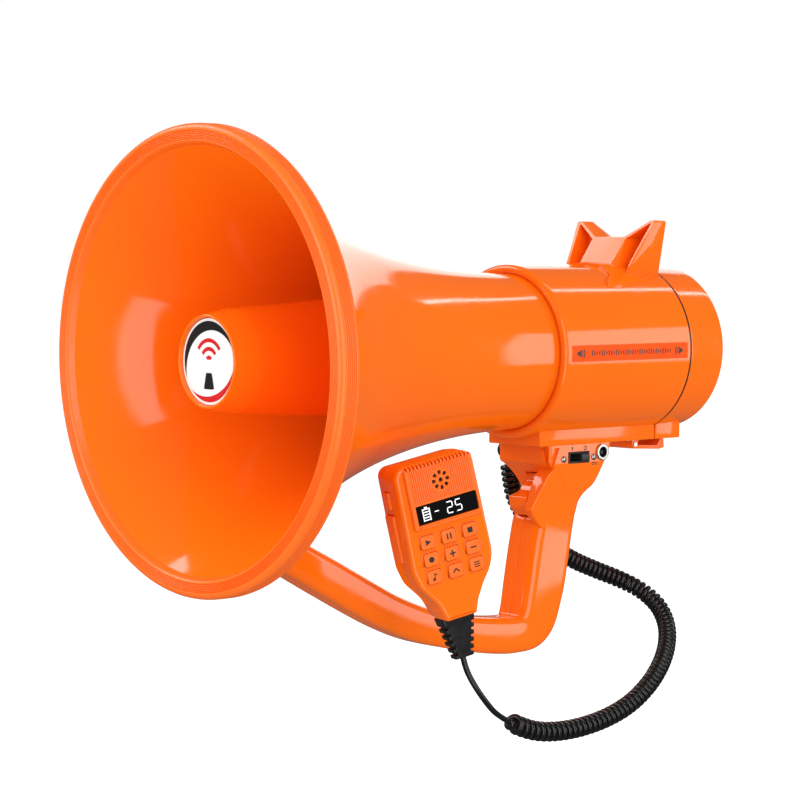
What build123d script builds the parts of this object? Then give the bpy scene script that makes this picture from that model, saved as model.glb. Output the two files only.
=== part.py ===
from build123d import *
from math import atan2, cos, cosh, hypot, pi, radians, sin, sinh, tan
import os

# Handheld megaphone with a speaker microphone on a curly cord. Millimetres.
# Sketch x runs from the mouth of the horn to the rear, sketch z from the horn's axis upwards.
# The origin is where the palm closes on the grip: +X is to the rear and -Y is the switch side.

os.makedirs("parts", exist_ok=True)

# ---- driving dimensions ----
mouth_x = -235.0        # the mouth plane, ahead of the grip
axis_z = 115.0          # the horn's axis, above the grip
gap = 0.15              # assembly gap between neighbouring pieces

neck_r = 42.0           # bell's outer radius where it enters the barrel
flare_rate = 0.009
flare_gain = 28.06
flare_end = 212.0
bell_front = 4.0
bell_rear = 219.0
bell_wall = 2.5

rim_r = 115.0
rim_inner_r = 106.0
rim_depth = 12.0
rim_ridges = 6
ridge_pitch = 1.15

cup_front = 10.0
cup_rear = 150.0
cup_wall = 2.0
badge_r = 21.2

tube_front = 42.0
tube_rear = 219.0

barrel_front = 209.0
barrel_rear = 306.0
barrel_r = 46.8
barrel_wall = 2.4
cap_rear = 336.0
seam = 0.8
rail_half = 20.0
rail_bottom = -50.5
cap_rail_rear = 327.0

shell_wall = 2.4
block_half = 20.0
grip_half = 12.25
bow_width = 22.0
bow_height = 19.5

coil_r = 5.2            # outside of the wound cord
lead_r = 1.5            # the cord's own jacket

# ---- planes ----
side = Plane(origin=(mouth_x, 0, axis_z), x_dir=(1, 0, 0), z_dir=(0, -1, 0))
horn_axis = Axis((mouth_x, 0, axis_z), (1, 0, 0))
mic_origin = (mouth_x + 95.3, -81.3, axis_z - 85.0)
mic_turn = radians(16)
mic_lean = radians(13)
mic_right = Vector(cos(mic_turn), -sin(mic_turn), 0)
mic_face = Plane(
    origin=mic_origin,
    x_dir=mic_right * cos(mic_lean) + Vector(0, 0, sin(mic_lean)),
    z_dir=(-sin(mic_turn), -cos(mic_turn), 0),
)


def side_at(y):
    """The side plane moved to y; extrusions grow towards -Y."""
    return Plane(origin=(mouth_x, y, axis_z), x_dir=(1, 0, 0), z_dir=(0, -1, 0))


def station(x):
    """A cross-section of the horn at x: sketch x is Y, sketch y is height."""
    return Plane(origin=(mouth_x + x, 0, axis_z), x_dir=(0, 1, 0), z_dir=(1, 0, 0))


def level(z):
    """A horizontal plane at height z: sketch x is along the horn, sketch y is Y."""
    return Plane(origin=(mouth_x, 0, axis_z + z))


def mic_level(w):
    """The microphone's face plane moved outwards by w."""
    return mic_face.offset(w)


def save(piece, name):
    piece.label = name
    export_step(piece, f"parts/{name}.step")


def bell_radius(x):
    """The bell's outer radius at x: a catenoidal flare."""
    return neck_r + flare_gain * (cosh(flare_rate * (flare_end - min(x, flare_end))) - 1)


def bell_slope(x):
    return -flare_gain * flare_rate * sinh(flare_rate * (flare_end - min(x, flare_end)))


def bell_inner(x):
    return bell_radius(x) - bell_wall * hypot(1, bell_slope(x))


def ring(x0, x1, r_out, r_in):
    """A ring about the horn's axis."""
    with BuildPart() as piece:
        with BuildSketch(station(x0)):
            Circle(r_out)
            if r_in:
                Circle(r_in, mode=Mode.SUBTRACT)
        extrude(amount=x1 - x0)
    return piece.part


def turned(points):
    """A solid of revolution about the horn's axis, from an outline of straight runs."""
    with BuildPart() as piece:
        with BuildSketch(side):
            with BuildLine():
                Polyline(*points, close=True)
            make_face()
        revolve(axis=horn_axis)
    return piece.part


# ---- horn ----
flare_at = [bell_front, 20, 40, 70, 105, 145, 180, flare_end]

with BuildPart() as bell:
    with BuildSketch(side):
        with BuildLine():
            Spline(*[(x, bell_radius(x)) for x in flare_at])
            Line((flare_end, neck_r), (bell_rear, neck_r))
            Line((bell_rear, neck_r), (bell_rear, neck_r - bell_wall))
            Line((bell_rear, neck_r - bell_wall), (flare_end, neck_r - bell_wall))
            Spline(*[(x, bell_inner(x)) for x in reversed(flare_at)])
            Line((bell_front, bell_inner(bell_front)), (bell_front, bell_radius(bell_front)))
        make_face()
    revolve(axis=horn_axis)
save(bell.part, "bell")

with BuildPart() as rim_guard:
    hug = [(x, bell_radius(x) + gap) for x in (rim_depth, 8, bell_front)]
    with BuildSketch(side):
        with BuildLine():
            Polyline(
                (bell_front - gap, bell_radius(bell_front) + gap),
                (bell_front - gap, bell_inner(bell_front)),
                (1.2, rim_inner_r - 0.4),
                (0, rim_inner_r + 0.8),
                (0, rim_r - 3.5),
            )
            ThreePointArc((0, rim_r - 3.5), (1.03, rim_r - 1.03), (3.5, rim_r))
            Polyline((3.5, rim_r), (9, rim_r))
            ThreePointArc((9, rim_r), (11.12, rim_r - 0.88), (rim_depth, rim_r - 3))
            Line((rim_depth, rim_r - 3), hug[0])
            Polyline(*hug, (bell_front - gap, bell_radius(bell_front) + gap))
        make_face()
    revolve(axis=horn_axis)
    with BuildSketch(side):
        for i in range(rim_ridges):
            r = rim_inner_r + 1.6 + ridge_pitch * i
            with Locations((0, r)):
                Rectangle(0.7, 0.35)
    revolve(axis=horn_axis, mode=Mode.SUBTRACT)
save(rim_guard.part, "rim_guard")

# ---- reflector, a cup that turns the sound back, with its badge ----
cup_outline = [(cup_front, 22.9), (25, 25.8), (82, 29.5), (cup_rear, 34.0)]
with BuildPart() as reflector_cup:
    with BuildSketch(side):
        with BuildLine():
            Polyline(
                (13, 0), (13, badge_r + 0.2), (cup_front, badge_r + 0.4), *cup_outline,
                (cup_rear, 34.0 - cup_wall), (82, 29.5 - cup_wall), (25, 25.8 - cup_wall),
                (15, 21.5), (15, 0), close=True,
            )
        make_face()
    revolve(axis=horn_axis)
save(reflector_cup.part, "reflector_cup")

badge = ring(11.9, 13, badge_r, 0)
save(badge, "badge_disc")

throat_horn = turned([
    (tube_front, 14.5), (tube_front, 16), (212.5, 9), (214.5, 9), (214.5, 38.6), (tube_rear, 38.6),
    (tube_rear, 7.5), (212.5, 7.5),
])
save(throat_horn, "throat_horn")

# Four ribs centre the cup on the throat tube.
rib_at = (118.0, 140.0)
with BuildPart() as spider:
    with BuildSketch(station(rib_at[0])):
        Circle(15.6)
        with PolarLocations(21.5, 4, 45):
            Rectangle(16.4, 2.2)
        Circle(13.2, mode=Mode.SUBTRACT)
    extrude(amount=rib_at[1] - rib_at[0])
    add(turned([(110, 31.4 - cup_wall), (150, 34.0 - cup_wall), (150, 50), (110, 50)]), mode=Mode.SUBTRACT)
save(spider.part, "reflector_spider")

# ---- compression driver ----
top_plate = turned([
    (tube_rear, 7.5), (tube_rear, 36), (228, 36), (228, 23.5), (222, 21), (222, 7.5),
])
save(top_plate, "driver_front_plate")

with BuildPart() as diaphragm:
    with BuildSketch(side):
        with BuildLine():
            Polyline((228.4, 23.2), (228.4, 19.2), (227.6, 18.8), (225.6, 12), (224.4, 0), (224.8, 0),
                     (226, 12), (228, 18.6), (228.9, 19.0), (228.9, 23.2), close=True)
        make_face()
    revolve(axis=horn_axis)
save(diaphragm.part, "diaphragm")
save(ring(228.95, 237, 19.0, 18.3), "voice_coil")

pole_plate = ring(229.2, 234.5, 34, 19.6)
magnet = ring(234.5, 248, 36, 23)
save(turned([(231, 0), (231, 17.7), (248, 17.7), (248, 34), (253, 34), (253, 0)]), "driver_yoke")
with BuildPart() as magnet_stack:
    add(pole_plate)
    add(magnet)
save(magnet_stack.part, "driver_magnet")
save(turned([(228.2, 36.3), (228.2, 38.4), (257, 38.4), (257, 0), (255, 0), (255, 36.3)]), "driver_cover")

# ---- barrel with its rail and rear cap ----
barrel_inner = barrel_r - barrel_wall
lip_r = neck_r + 0.4


def rail(x0, x1, bore):
    """The rail below the barrel between two stations, hollowed to clear the barrel's bore."""
    with BuildPart() as piece:
        with BuildSketch(station(x0)):
            with BuildLine():
                Polyline(
                    (-rail_half, -41.0), (-rail_half, rail_bottom), (rail_half, rail_bottom),
                    (rail_half, -41.0), close=True,
                )
            make_face()
            Circle(bore, mode=Mode.SUBTRACT)
        extrude(amount=x1 - x0)
    return piece.part


with BuildPart() as barrel_shell:
    with BuildSketch(side):
        with BuildLine():
            Polyline((barrel_front + 3, barrel_r), (barrel_rear, barrel_r), (barrel_rear, barrel_inner),
                     (barrel_front + 6, barrel_inner), (barrel_front + 6, lip_r), (barrel_front + 2, lip_r))
            ThreePointArc((barrel_front + 2, lip_r), (barrel_front - 0.3, 44.5), (barrel_front + 3, barrel_r))
        make_face()
    revolve(axis=horn_axis)
    add(rail(217, barrel_rear, barrel_inner + 0.5))
    with BuildSketch(level(rail_bottom)):
        with Locations((232, 12), (232, -12)):
            Circle(1.25)
    extrude(amount=6, mode=Mode.SUBTRACT)
save(barrel_shell.part, "barrel_shell")

save(ring(barrel_rear, barrel_rear + seam, barrel_r - 0.35, barrel_inner), "cap_gasket")

cap_front = barrel_rear + seam
with BuildPart() as rear_cap:
    with BuildSketch(side):
        with BuildLine():
            Polyline((cap_front, barrel_r), (cap_rear - 6, barrel_r - 1.2))
            ThreePointArc((cap_rear - 6, barrel_r - 1.2), (cap_rear - 1.6, 43.9), (cap_rear, 39.6))
            Polyline((cap_rear, 39.6), (cap_rear, 0), (cap_rear - 2.4, 0), (cap_rear - 2.4, 39.0),
                     (cap_rear - 7, 43.0), (barrel_rear - 6, 43.0), (barrel_rear - 6, barrel_inner - 0.3),
                     (cap_front, barrel_inner - 0.3), (cap_front, barrel_r))
        make_face()
    revolve(axis=horn_axis)
    add(rail(cap_front, cap_rail_rear, barrel_inner))
    with BuildSketch(station(cap_rear)):
        with GridLocations(60, 7, 1, 5):
            SlotOverall(30, 2)
    extrude(amount=-0.8, mode=Mode.SUBTRACT)
save(rear_cap.part, "rear_cap")

# ---- latch under the rail ----
latch_pin_at = (299.0, -53.6)
with BuildPart() as latch:
    with BuildSketch(side):
        with BuildLine():
            Polyline((296.6, -55.2), (296.6, -52.2), (301.5, -52.2), (304, -54.4), (320, -55.2),
                     (323.4, -50.9), (325.4, -50.9), (325.8, -56.6), (322, -57.4), (303, -56.4),
                     (300, -56.2), close=True)
        make_face()
        with Locations(latch_pin_at):
            Circle(1.28, mode=Mode.SUBTRACT)
    extrude(amount=9, both=True)
    with BuildSketch(level(-60)):
        with Locations((311, 0)):
            RectangleRounded(11, 11, 2)
    extrude(amount=12, mode=Mode.SUBTRACT)
save(latch.part, "cap_latch")

with BuildPart() as pin:
    with BuildSketch(side_at(12.5)):
        with Locations(latch_pin_at):
            Circle(1.22)
    extrude(amount=25)
save(pin.part, "latch_pin")

with BuildPart() as ears:
    for y in (12.0, -9.4):
        with BuildSketch(side_at(y)):
            with BuildLine():
                Polyline((296.2, rail_bottom), (302, rail_bottom), (301.2, -54.2), (299.8, -55.6),
                         (298, -55.6), (296.8, -54.2), close=True)
            make_face()
            with Locations(latch_pin_at):
                Circle(1.22, mode=Mode.SUBTRACT)
        extrude(amount=2.6)
save(ears.part, "latch_ears")

# ---- carrying cradle on top, with two raised ears ----
base_t = 1.2
with BuildPart() as cradle_foot:
    with BuildSketch(level(0)):
        with BuildLine():
            Polyline((255, 31.5), (266, 24), (270, 10), (270, -10), (266, -24), (255, -31.5), (266, -32.5),
                     (280, -30), (303, -23), (303, 23), (280, 30), (266, 32.5), close=True)
        make_face()
    extrude(amount=60)
    add(ring(250, 310, barrel_r + base_t, barrel_r), mode=Mode.INTERSECT)

with BuildPart() as cradle:
    with BuildSketch(station(304)):
        with BuildLine():
            Polyline((-30, 71), (-26.5, 71), (-11, 62), (11, 62), (26.5, 71), (30, 71), (23.5, 38), (-23.5, 38),
                     close=True)
        make_face()
    extrude(amount=-25)
    with BuildSketch(side):
        with BuildLine():
            Polyline((270, 80), (297, 80), (295.5, 71), (281, 46), (279, 30), (270, 30), close=True)
        make_face()
    extrude(amount=40, both=True, mode=Mode.SUBTRACT)
    # The pocket between each ear's outer wall and the middle panel.
    for s in (1, -1):
        with BuildSketch(station(300)):
            with BuildLine():
                Polyline((s * 12.8, 61), (s * 26.3, 69.2), (s * 27.4, 69.2), (s * 21.4, 38), (s * 16.6, 38),
                         close=True)
            make_face()
        extrude(amount=-25, mode=Mode.SUBTRACT)
    add(cradle_foot.part)
    add(ring(240, 320, barrel_r + gap / 3, 0), mode=Mode.SUBTRACT)
save(cradle.part, "top_cradle")

# ---- label strip on the switch side ----
with BuildPart() as label:
    with BuildSketch(side_at(-30)):
        with Locations((259, 0)):
            Rectangle(89, 8.6)
    extrude(amount=25)
    add(ring(200, 310, barrel_r + 0.3, barrel_r + 0.02), mode=Mode.INTERSECT)
save(label.part, "side_label")

# ---- battery and electronics inside the barrel ----
cell_r = 9.2
cell_x = (264.5, 329.0)
with BuildPart() as holder:
    for x0 in (261.0, 329.2):
        with BuildSketch(station(x0)):
            RectangleRounded(42, 42, 8)
        extrude(amount=2.2)
    with BuildSketch(station(263.2)):
        Rectangle(1.0, 41)
        Rectangle(41, 1.0)
    extrude(amount=66)
save(holder.part, "battery_holder")

with BuildPart() as cells:
    with BuildSketch(station(cell_x[0])):
        with GridLocations(20.4, 20.4, 2, 2):
            Circle(cell_r)
    extrude(amount=cell_x[1] - cell_x[0])
save(cells.part, "battery_cells")

with BuildPart() as contacts:
    with BuildSketch(station(263.3)):
        with GridLocations(20.4, 20.4, 2, 2):
            Circle(4.5)
    extrude(amount=1.1)
save(contacts.part, "battery_contacts")

board_z = -32.0
with BuildPart() as amp_board:
    with BuildSketch(level(board_z)):
        with Locations((282, 0)):
            Rectangle(40, 50)
    extrude(amount=1.6)
save(amp_board.part, "amplifier_board")

with BuildPart() as board_parts:
    with BuildSketch(level(board_z + 1.6)):
        with Locations((268, 16), (268, -16), (276, 18)):
            Circle(3.8)
        with Locations((290, 17), (283, -17)):
            Rectangle(10, 8)
    extrude(amount=6.5)
save(board_parts.part, "board_components")

with BuildPart() as sink:
    with BuildSketch(level(board_z + 1.6)):
        with Locations((286, 0)):
            Rectangle(20, 18)
    extrude(amount=2)
    with BuildSketch(level(board_z + 3.6)):
        with Locations((286, 0)):
            with GridLocations(1, 3.4, 1, 6):
                Rectangle(20, 1)
    extrude(amount=5)
save(sink.part, "heat_sink")

# ---- handle: block, grip and bow, in a left and a right shell ----
# Each station of the block and grip: height, front, rear, half width and corner radius.
handle_stations = [
    (rail_bottom - 0.05, 224.3, 272.3, block_half, 2.0),
    (-61.0, 224.6, 267.4, block_half, 2.0),
    (-67.0, 231.5, 264.6, 19.0, 3.0),
    (-74.0, 236.0, 261.0, 17.0, 4.0),
    (-80.0, 233.0, 257.0, 14.5, 5.0),
    (-88.0, 225.4, 254.8, 12.8, 6.0),
    (-100.0, 221.8, 252.4, grip_half, 7.0),
    (-138.0, 215.0, 245.6, grip_half, 7.0),
]
bow_start = (26.0, -79.5)
bow_bend = (126.0, -131.6)
bow_slope = atan2(bow_start[1] - bow_bend[1], bow_bend[0] - bow_start[0])
bow_end_x = 214.0
bow_arc_r = (bow_end_x - bow_bend[0]) / sin(bow_slope)
bow_centre_z = bow_bend[1] + bow_arc_r * cos(bow_slope)


def block_and_grip(inset):
    with BuildPart() as piece:
        for i, (z, front, rear, half, r) in enumerate(handle_stations):
            top = z - (inset if i == 0 else 0)
            with BuildSketch(level(top)):
                with Locations(((front + rear) / 2, 0)):
                    RectangleRounded(
                        rear - front - 2 * inset, 2 * (half - inset), max(r - inset, 0.8)
                    )
        loft(ruled=True)
    return piece.part


def bow_arc_at(share):
    """A point on the bow's arc, from its level end (0) to where it meets the straight (1)."""
    turn = bow_slope * share
    return (bow_end_x - bow_arc_r * sin(turn), bow_centre_z - bow_arc_r * cos(turn))


def bow_bar(inset, start):
    with BuildPart() as piece:
        with BuildLine(side):
            straight = Line(start, bow_bend)
            ThreePointArc(bow_bend, bow_arc_at(0.5), bow_arc_at(0))
        with BuildSketch(Plane(origin=(mouth_x + start[0], 0, axis_z + start[1]), x_dir=(0, 1, 0),
                               z_dir=straight.tangent_at(0))):
            RectangleRounded(bow_width - 2 * inset, bow_height - 2 * inset, 5 - inset)
        sweep()
    return piece.part


def elbow(inset):
    """The heel where the grip turns forward into the bow."""
    with BuildPart() as piece:
        with BuildSketch(side):
            with BuildLine():
                Polyline((212, -142.8), (213.5, -137.9), (246.2, -137.9), (243, -150), (236.5, -159.2),
                         (228, -162.4), (212, -162.4), close=True)
            make_face()
            if inset:
                offset(amount=-inset)
        extrude(amount=11.6 - inset, both=True)
        fillet(piece.edges().filter_by(Axis.Y).group_by(Axis.Z)[0], 2 - inset / 2)
    return piece.part


bell_clear = turned([(x, bell_radius(x) + gap) for x in (5, 15, 25, 35, 45, 55, 70)] + [(70, 0), (5, 0)])
block_screw = (252.5, -67.5)
screw_sites = [block_screw, (238.0, -96.0), (228.0, -132.0), (180.0, -149.4), (104.0, -120.8)]
trigger_slot = (-66.0, -90.0)

with BuildPart() as handle:
    add(block_and_grip(0))
    add(bow_bar(0, bow_start))
    add(elbow(0))
    # Finger guard beside the trigger, on the switch side.
    with BuildSketch(side_at(-8.2)):
        with BuildLine():
            Polyline((233, -62), (224.5, -66), (216.2, -85.3), (222.7, -92), (232, -96), (240, -80),
                     close=True)
        make_face()
    extrude(amount=4.2)
    add(block_and_grip(shell_wall), mode=Mode.SUBTRACT)
    add(bow_bar(shell_wall, (52.0, -93.05)), mode=Mode.SUBTRACT)
    with BuildSketch(side):
        with Locations((226, -150)):
            Rectangle(18, 16)
    extrude(amount=8, both=True, mode=Mode.SUBTRACT)
    # Screw bosses across the hollow.
    with BuildSketch(side_at(11)):
        with Locations(*screw_sites):
            Circle(3.6)
    extrude(amount=22)
    with BuildSketch(side_at(16.5)):
        with Locations(block_screw):
            Circle(3.6)
    extrude(amount=33)
    with BuildSketch(side_at(25)):
        with Locations(*screw_sites):
            Circle(1.55)
    extrude(amount=33, mode=Mode.SUBTRACT)
    with BuildSketch(side_at(25)):
        with Locations(*screw_sites):
            Circle(3.1)
    extrude(amount=17.2, mode=Mode.SUBTRACT)
    # Openings for trigger, switch, jack, cord gland and the screws up into the rail.
    with BuildSketch(level(trigger_slot[1])):
        with Locations((226, -0.75)):
            Rectangle(28, 14.5)
    extrude(amount=trigger_slot[0] - trigger_slot[1], mode=Mode.SUBTRACT)
    with BuildSketch(side_at(-14)):
        with Locations((246.4, -57.6)):
            Rectangle(16.2, 6.4)
    extrude(amount=10, mode=Mode.SUBTRACT)
    with BuildSketch(side_at(-8.5)):
        with Locations((264.2, -55.6)):
            Circle(4.0)
        with Locations((234.9, -58.2), (257.9, -58.0)):
            Circle(0.9)
    extrude(amount=16, mode=Mode.SUBTRACT)
    with BuildSketch(side_at(22)):
        with Locations((240.2, -56)):
            Circle(3.2)
    extrude(amount=8, mode=Mode.SUBTRACT)
    with BuildSketch(level(rail_bottom)):
        with Locations((232, 12), (232, -12)):
            Circle(1.3)
    extrude(amount=-4, mode=Mode.SUBTRACT)
    add(bell_clear, mode=Mode.SUBTRACT)

left_half = split(handle.part, bisect_by=Plane.XZ, keep=Keep.BOTTOM)
right_half = split(handle.part, bisect_by=Plane.XZ, keep=Keep.TOP)
for half in (left_half, right_half):
    on_switch_side = half.center().Y < 0
    save(half, "handle_left_shell" if on_switch_side else "handle_right_shell")

with BuildPart() as screws:
    with BuildSketch(side_at(9.8)):
        with Locations(*screw_sites):
            Circle(2.9)
    extrude(amount=1.9)
    with BuildSketch(side_at(8.0)):
        with Locations(*screw_sites):
            Circle(1.5)
    extrude(amount=14)
    with BuildSketch(level(-55.0)):
        with Locations((232, 12), (232, -12)):
            Circle(2.6)
    extrude(amount=1.9)
    with BuildSketch(level(-53.2)):
        with Locations((232, 12), (232, -12)):
            Circle(1.2)
    extrude(amount=7)
save(screws.part, "handle_screws")

# ---- trigger, a sprung slider with a finger hook, and its microswitch ----
with BuildPart() as trigger:
    with BuildSketch(side_at(5.8)):
        with BuildLine():
            Polyline((233.4, -66.8), (231.6, -71.5), (228.4, -73.4), (226.6, -76.2), (218.6, -78.6),
                     (219.2, -84.6), (223.6, -89.2), (240, -89.2), (240, -66.8), close=True)
        make_face()
    extrude(amount=13.1)
save(trigger.part, "trigger")

with BuildPart() as microswitch:
    with BuildSketch(side_at(3.2)):
        with BuildLine():
            Polyline((243.6, -78), (248.8, -78), (248.8, -88), (243.6, -88), close=True)
        make_face()
    extrude(amount=6.4)
save(microswitch.part, "trigger_microswitch")

# ---- power switch and charging jack ----
with BuildPart() as switch_frame:
    with BuildSketch(side_at(-14.6)):
        with Locations((246.4, -57.6)):
            Rectangle(15.9, 6.1)
            Rectangle(13.6, 4.2, mode=Mode.SUBTRACT)
    extrude(amount=5.8)
    with BuildSketch(side_at(-12.6)):
        with Locations((246.4, -57.6)):
            Rectangle(15.9, 6.1)
    extrude(amount=2)
save(switch_frame.part, "switch_frame")

with BuildPart() as knob:
    with BuildSketch(side_at(-14.8)):
        with Locations((249.9, -57.6)):
            Rectangle(6.2, 3.9)
    extrude(amount=7.2)
save(knob.part, "switch_knob")

with BuildPart() as switch_screws:
    for x, z in ((234.9, -58.2), (257.9, -58.0)):
        with BuildSketch(side_at(-20.02)):
            with Locations((x, z)):
                Circle(1.75)
        extrude(amount=0.9)
        with BuildSketch(side_at(-14)):
            with Locations((x, z)):
                Circle(0.85)
        extrude(amount=6.02)
save(switch_screws.part, "switch_screws")

jack_at = (264.2, -55.6)
with BuildPart() as bezel:
    with BuildSketch(side_at(-20.02)):
        with Locations(jack_at):
            Circle(4.5)
            Circle(2.75, mode=Mode.SUBTRACT)
    extrude(amount=1.2)
save(bezel.part, "dc_jack_bezel")

with BuildPart() as jack:
    with BuildSketch(side_at(-9.0)):
        with Locations(jack_at):
            Circle(3.9)
    extrude(amount=11.0)
    with BuildSketch(side_at(-11.0)):
        with Locations(jack_at):
            Circle(2.75)
            Circle(1.05, mode=Mode.SUBTRACT)
    extrude(amount=9.02, mode=Mode.SUBTRACT)
save(jack.part, "dc_jack_socket")

# ---- cord: right-angle gland, curly stretch, straight lead ----
gland_at = (240.2, -56.0)
with BuildPart() as gland:
    with BuildSketch(side_at(33.2)):
        with Locations(gland_at):
            Circle(4.2)
    extrude(amount=13.1)
    with BuildSketch(side_at(24)):
        with Locations(gland_at):
            Circle(3.0)
    extrude(amount=7)
    with BuildSketch(level(-60.0)):
        with Locations((gland_at[0], 28.6)):
            Circle(3.6)
    extrude(amount=5)
save(gland.part, "cord_gland")

# Route points in the object's own frame.
coil_route = [
    (5.2, 28.6, 53.4), (7.4, 29.2, 43.6), (10.9, 30, 32.2), (18.5, 29, 20.0), (33.2, 28, 5.8),
    (50.4, 26, -4.9), (67.9, 22.5, -12.4), (82.8, 17, -18.6), (92.9, 9.5, -25.0), (95.9, -0.5, -32.6),
    (92.2, -10.5, -41.2), (83.2, -20, -49.6), (68.5, -30, -58.6), (47.9, -40, -67.5), (21.7, -49.5, -75.0),
    (-6.5, -57.5, -78.6), (-36.3, -64.5, -79.2), (-62.0, -70, -76.8), (-80.7, -73.5, -72.2),
    (-93.4, -75.5, -66.5),
]
lead_route = [
    coil_route[-1], (-103.16, -77.04, -62.12), (-112.4, -77.8, -53.4), (-118.8, -76.6, -44.6),
    (-122.2, -74.4, -36.6), (-123.5, -74.03, -30.8),
]


def tube_along(points, r, name):
    """A tube along straight runs joined by arcs, each as large as its two runs allow."""
    route = [Vector(*p) for p in points]
    radii = []
    for a, b, c in zip(route, route[1:], route[2:]):
        half_turn = radians((b - a).get_angle(c - b)) / 2
        radii.append(0.45 * min((b - a).length, (c - b).length) / tan(half_turn))
    with BuildPart() as piece:
        with BuildLine() as path:
            FilletPolyline(*route, radius=radii)
        with BuildSketch(Plane(origin=route[0], z_dir=route[1] - route[0])):
            Circle(r)
        sweep()
    long = path.wire().length
    print(name, "radii", [round(x) for x in radii], "length", round(long, 1),
          "volume over section times length", round(piece.part.volume / (pi * r * r * long), 4))
    return piece.part


save(tube_along(coil_route, coil_r, "cord_coil"), "cord_coil")
save(tube_along(lead_route, lead_r, "cord_lead"), "cord_lead")

# ---- speaker microphone ----
mic_outline = [
    (7.2, -40.5), (9.6, -34.0), (14.0, -27.0), (19.4, -20.5), (22.2, -13.0), (21.6, 39.5),
    (-21.6, 39.5), (-22.3, -12.0), (-19.8, -21.0), (-12.4, -31.0), (-9.3, -40.5),
]
mic_wall = 2.0
seam_w = -11.5
back_w = -24.0
key_sites = [(u, v) for v in (0.8, -7.9, -16.6) for u in (-11.6, 0.0, 11.6)]


def mic_profile(inset, plane):
    """The microphone's outline on a plane, drawn in by an inset."""
    with BuildSketch(plane) as sketch:
        with BuildLine():
            Polyline(*mic_outline, close=True)
        make_face()
        fillet(sketch.vertices().group_by(Axis.Z)[-1], 6)
        if inset:
            offset(amount=-inset, kind=Kind.INTERSECTION)
    return sketch.sketch


def mic_halves(w0, w1, inset0, inset1):
    """A slab of the microphone between two levels, tapering from one inset to the other."""
    with BuildPart() as piece:
        add(mic_profile(inset0, mic_level(w0)))
        add(mic_profile(inset1, mic_level(w1)))
        loft(ruled=True)
    return piece.part


def mic_box(u, v, width, height, w0, w1, corner=0.0):
    """A block on the microphone, centred on (u, v), between two levels."""
    with BuildPart() as piece:
        with BuildSketch(mic_level(w0)):
            with Locations((u, v)):
                if corner:
                    RectangleRounded(width, height, corner)
                else:
                    Rectangle(width, height)
        extrude(amount=w1 - w0)
    return piece.part


ptt_site = (-21.5, 4.0)
button_site = (-21.2, 23.0)
lens_size = (34.2, 9.6)
lens_site = (1.7, 14.4)
ptt_mid = -12.5

with BuildPart() as mic_front:
    add(mic_halves(seam_w, -1.6, 0, 0.3))
    add(mic_halves(-1.6, 0, 0.3, 1.9))
    add(mic_box(1.6, 22.8, 37.4, 31.2, -0.5, 1.0, 2.0))
    add(mic_halves(seam_w, -mic_wall, mic_wall, mic_wall + 0.6), mode=Mode.SUBTRACT)
    add(mic_box(*lens_site, *lens_size, -0.6, 2.0), mode=Mode.SUBTRACT)
    add(mic_box(*lens_site, 31.0, 7.6, -3.0, 2.0), mode=Mode.SUBTRACT)
    for site in key_sites:
        add(mic_box(*site, 7.9, 7.1, -3.0, 2.0, 1.3), mode=Mode.SUBTRACT)
    with BuildSketch(mic_level(-3)):
        with Locations((1.5, 28.8)):
            Circle(1.0)
            with PolarLocations(3.7, 8):
                Rectangle(0.9, 1.9)
    extrude(amount=5, mode=Mode.SUBTRACT)
    add(mic_box(ptt_site[0], ptt_site[1], 8, 24.4, ptt_mid - 4.7, ptt_mid + 4.7), mode=Mode.SUBTRACT)
    add(mic_box(button_site[0], button_site[1], 8, 9.4, ptt_mid - 3.3, ptt_mid + 3.3), mode=Mode.SUBTRACT)
    add(mic_box(-0.5, -40, 12.6, 6, -18, -5.5), mode=Mode.SUBTRACT)
save(mic_front.part, "mic_front_shell")

with BuildPart() as mic_back:
    add(mic_halves(seam_w, back_w + 3, 0, 1.0))
    add(mic_halves(back_w + 3, back_w, 1.0, 3.4))
    add(mic_halves(seam_w, back_w + mic_wall, mic_wall, mic_wall + 3.0), mode=Mode.SUBTRACT)
    add(mic_box(ptt_site[0], ptt_site[1], 8, 24.4, ptt_mid - 4.7, ptt_mid + 4.7), mode=Mode.SUBTRACT)
    add(mic_box(button_site[0], button_site[1], 8, 9.4, ptt_mid - 3.3, ptt_mid + 3.3), mode=Mode.SUBTRACT)
    add(mic_box(-0.5, -40, 12.6, 6, -18, -5.5), mode=Mode.SUBTRACT)
    with BuildSketch(mic_level(back_w - 1)):
        with Locations((-14, 32), (14, 32), (0, -26)):
            Circle(1.3)
    extrude(amount=4, mode=Mode.SUBTRACT)
save(mic_back.part, "mic_back_shell")

with BuildPart() as mic_screws:
    with BuildSketch(mic_level(back_w - 0.6)):
        with Locations((-14, 32), (14, 32), (0, -26)):
            Circle(2.4)
    extrude(amount=0.6)
    with BuildSketch(mic_level(back_w)):
        with Locations((-14, 32), (14, 32), (0, -26)):
            Circle(1.2)
    extrude(amount=7)
save(mic_screws.part, "mic_screws")

save(mic_box(*lens_site, lens_size[0] - 0.2, lens_size[1] - 0.2, -0.6, 0.7), "display_window")
save(mic_box(*lens_site, 30.6, 7.4, -6.4, -1.0), "display_module")
save(mic_box(0.5, 9, 28, 44, -7.6, -6.4), "mic_board")

with BuildPart() as capsule:
    with BuildSketch(mic_level(-6.4)):
        with Locations((1.5, 28.8)):
            Circle(4.8)
    extrude(amount=4.2)
save(capsule.part, "mic_capsule")

for number, (u, v) in enumerate(key_sites, start=1):
    with BuildPart() as key:
        with BuildSketch(mic_level(-4.6)):
            with Locations((u, v)):
                RectangleRounded(7.6, 6.8, 1.2)
        extrude(amount=5.5)
        with BuildSketch(mic_level(-3.6)):
            with Locations((u, v)):
                Rectangle(8.5, 7.7)
        extrude(amount=1.3)
    save(key.part, f"key_{number}")

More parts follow.
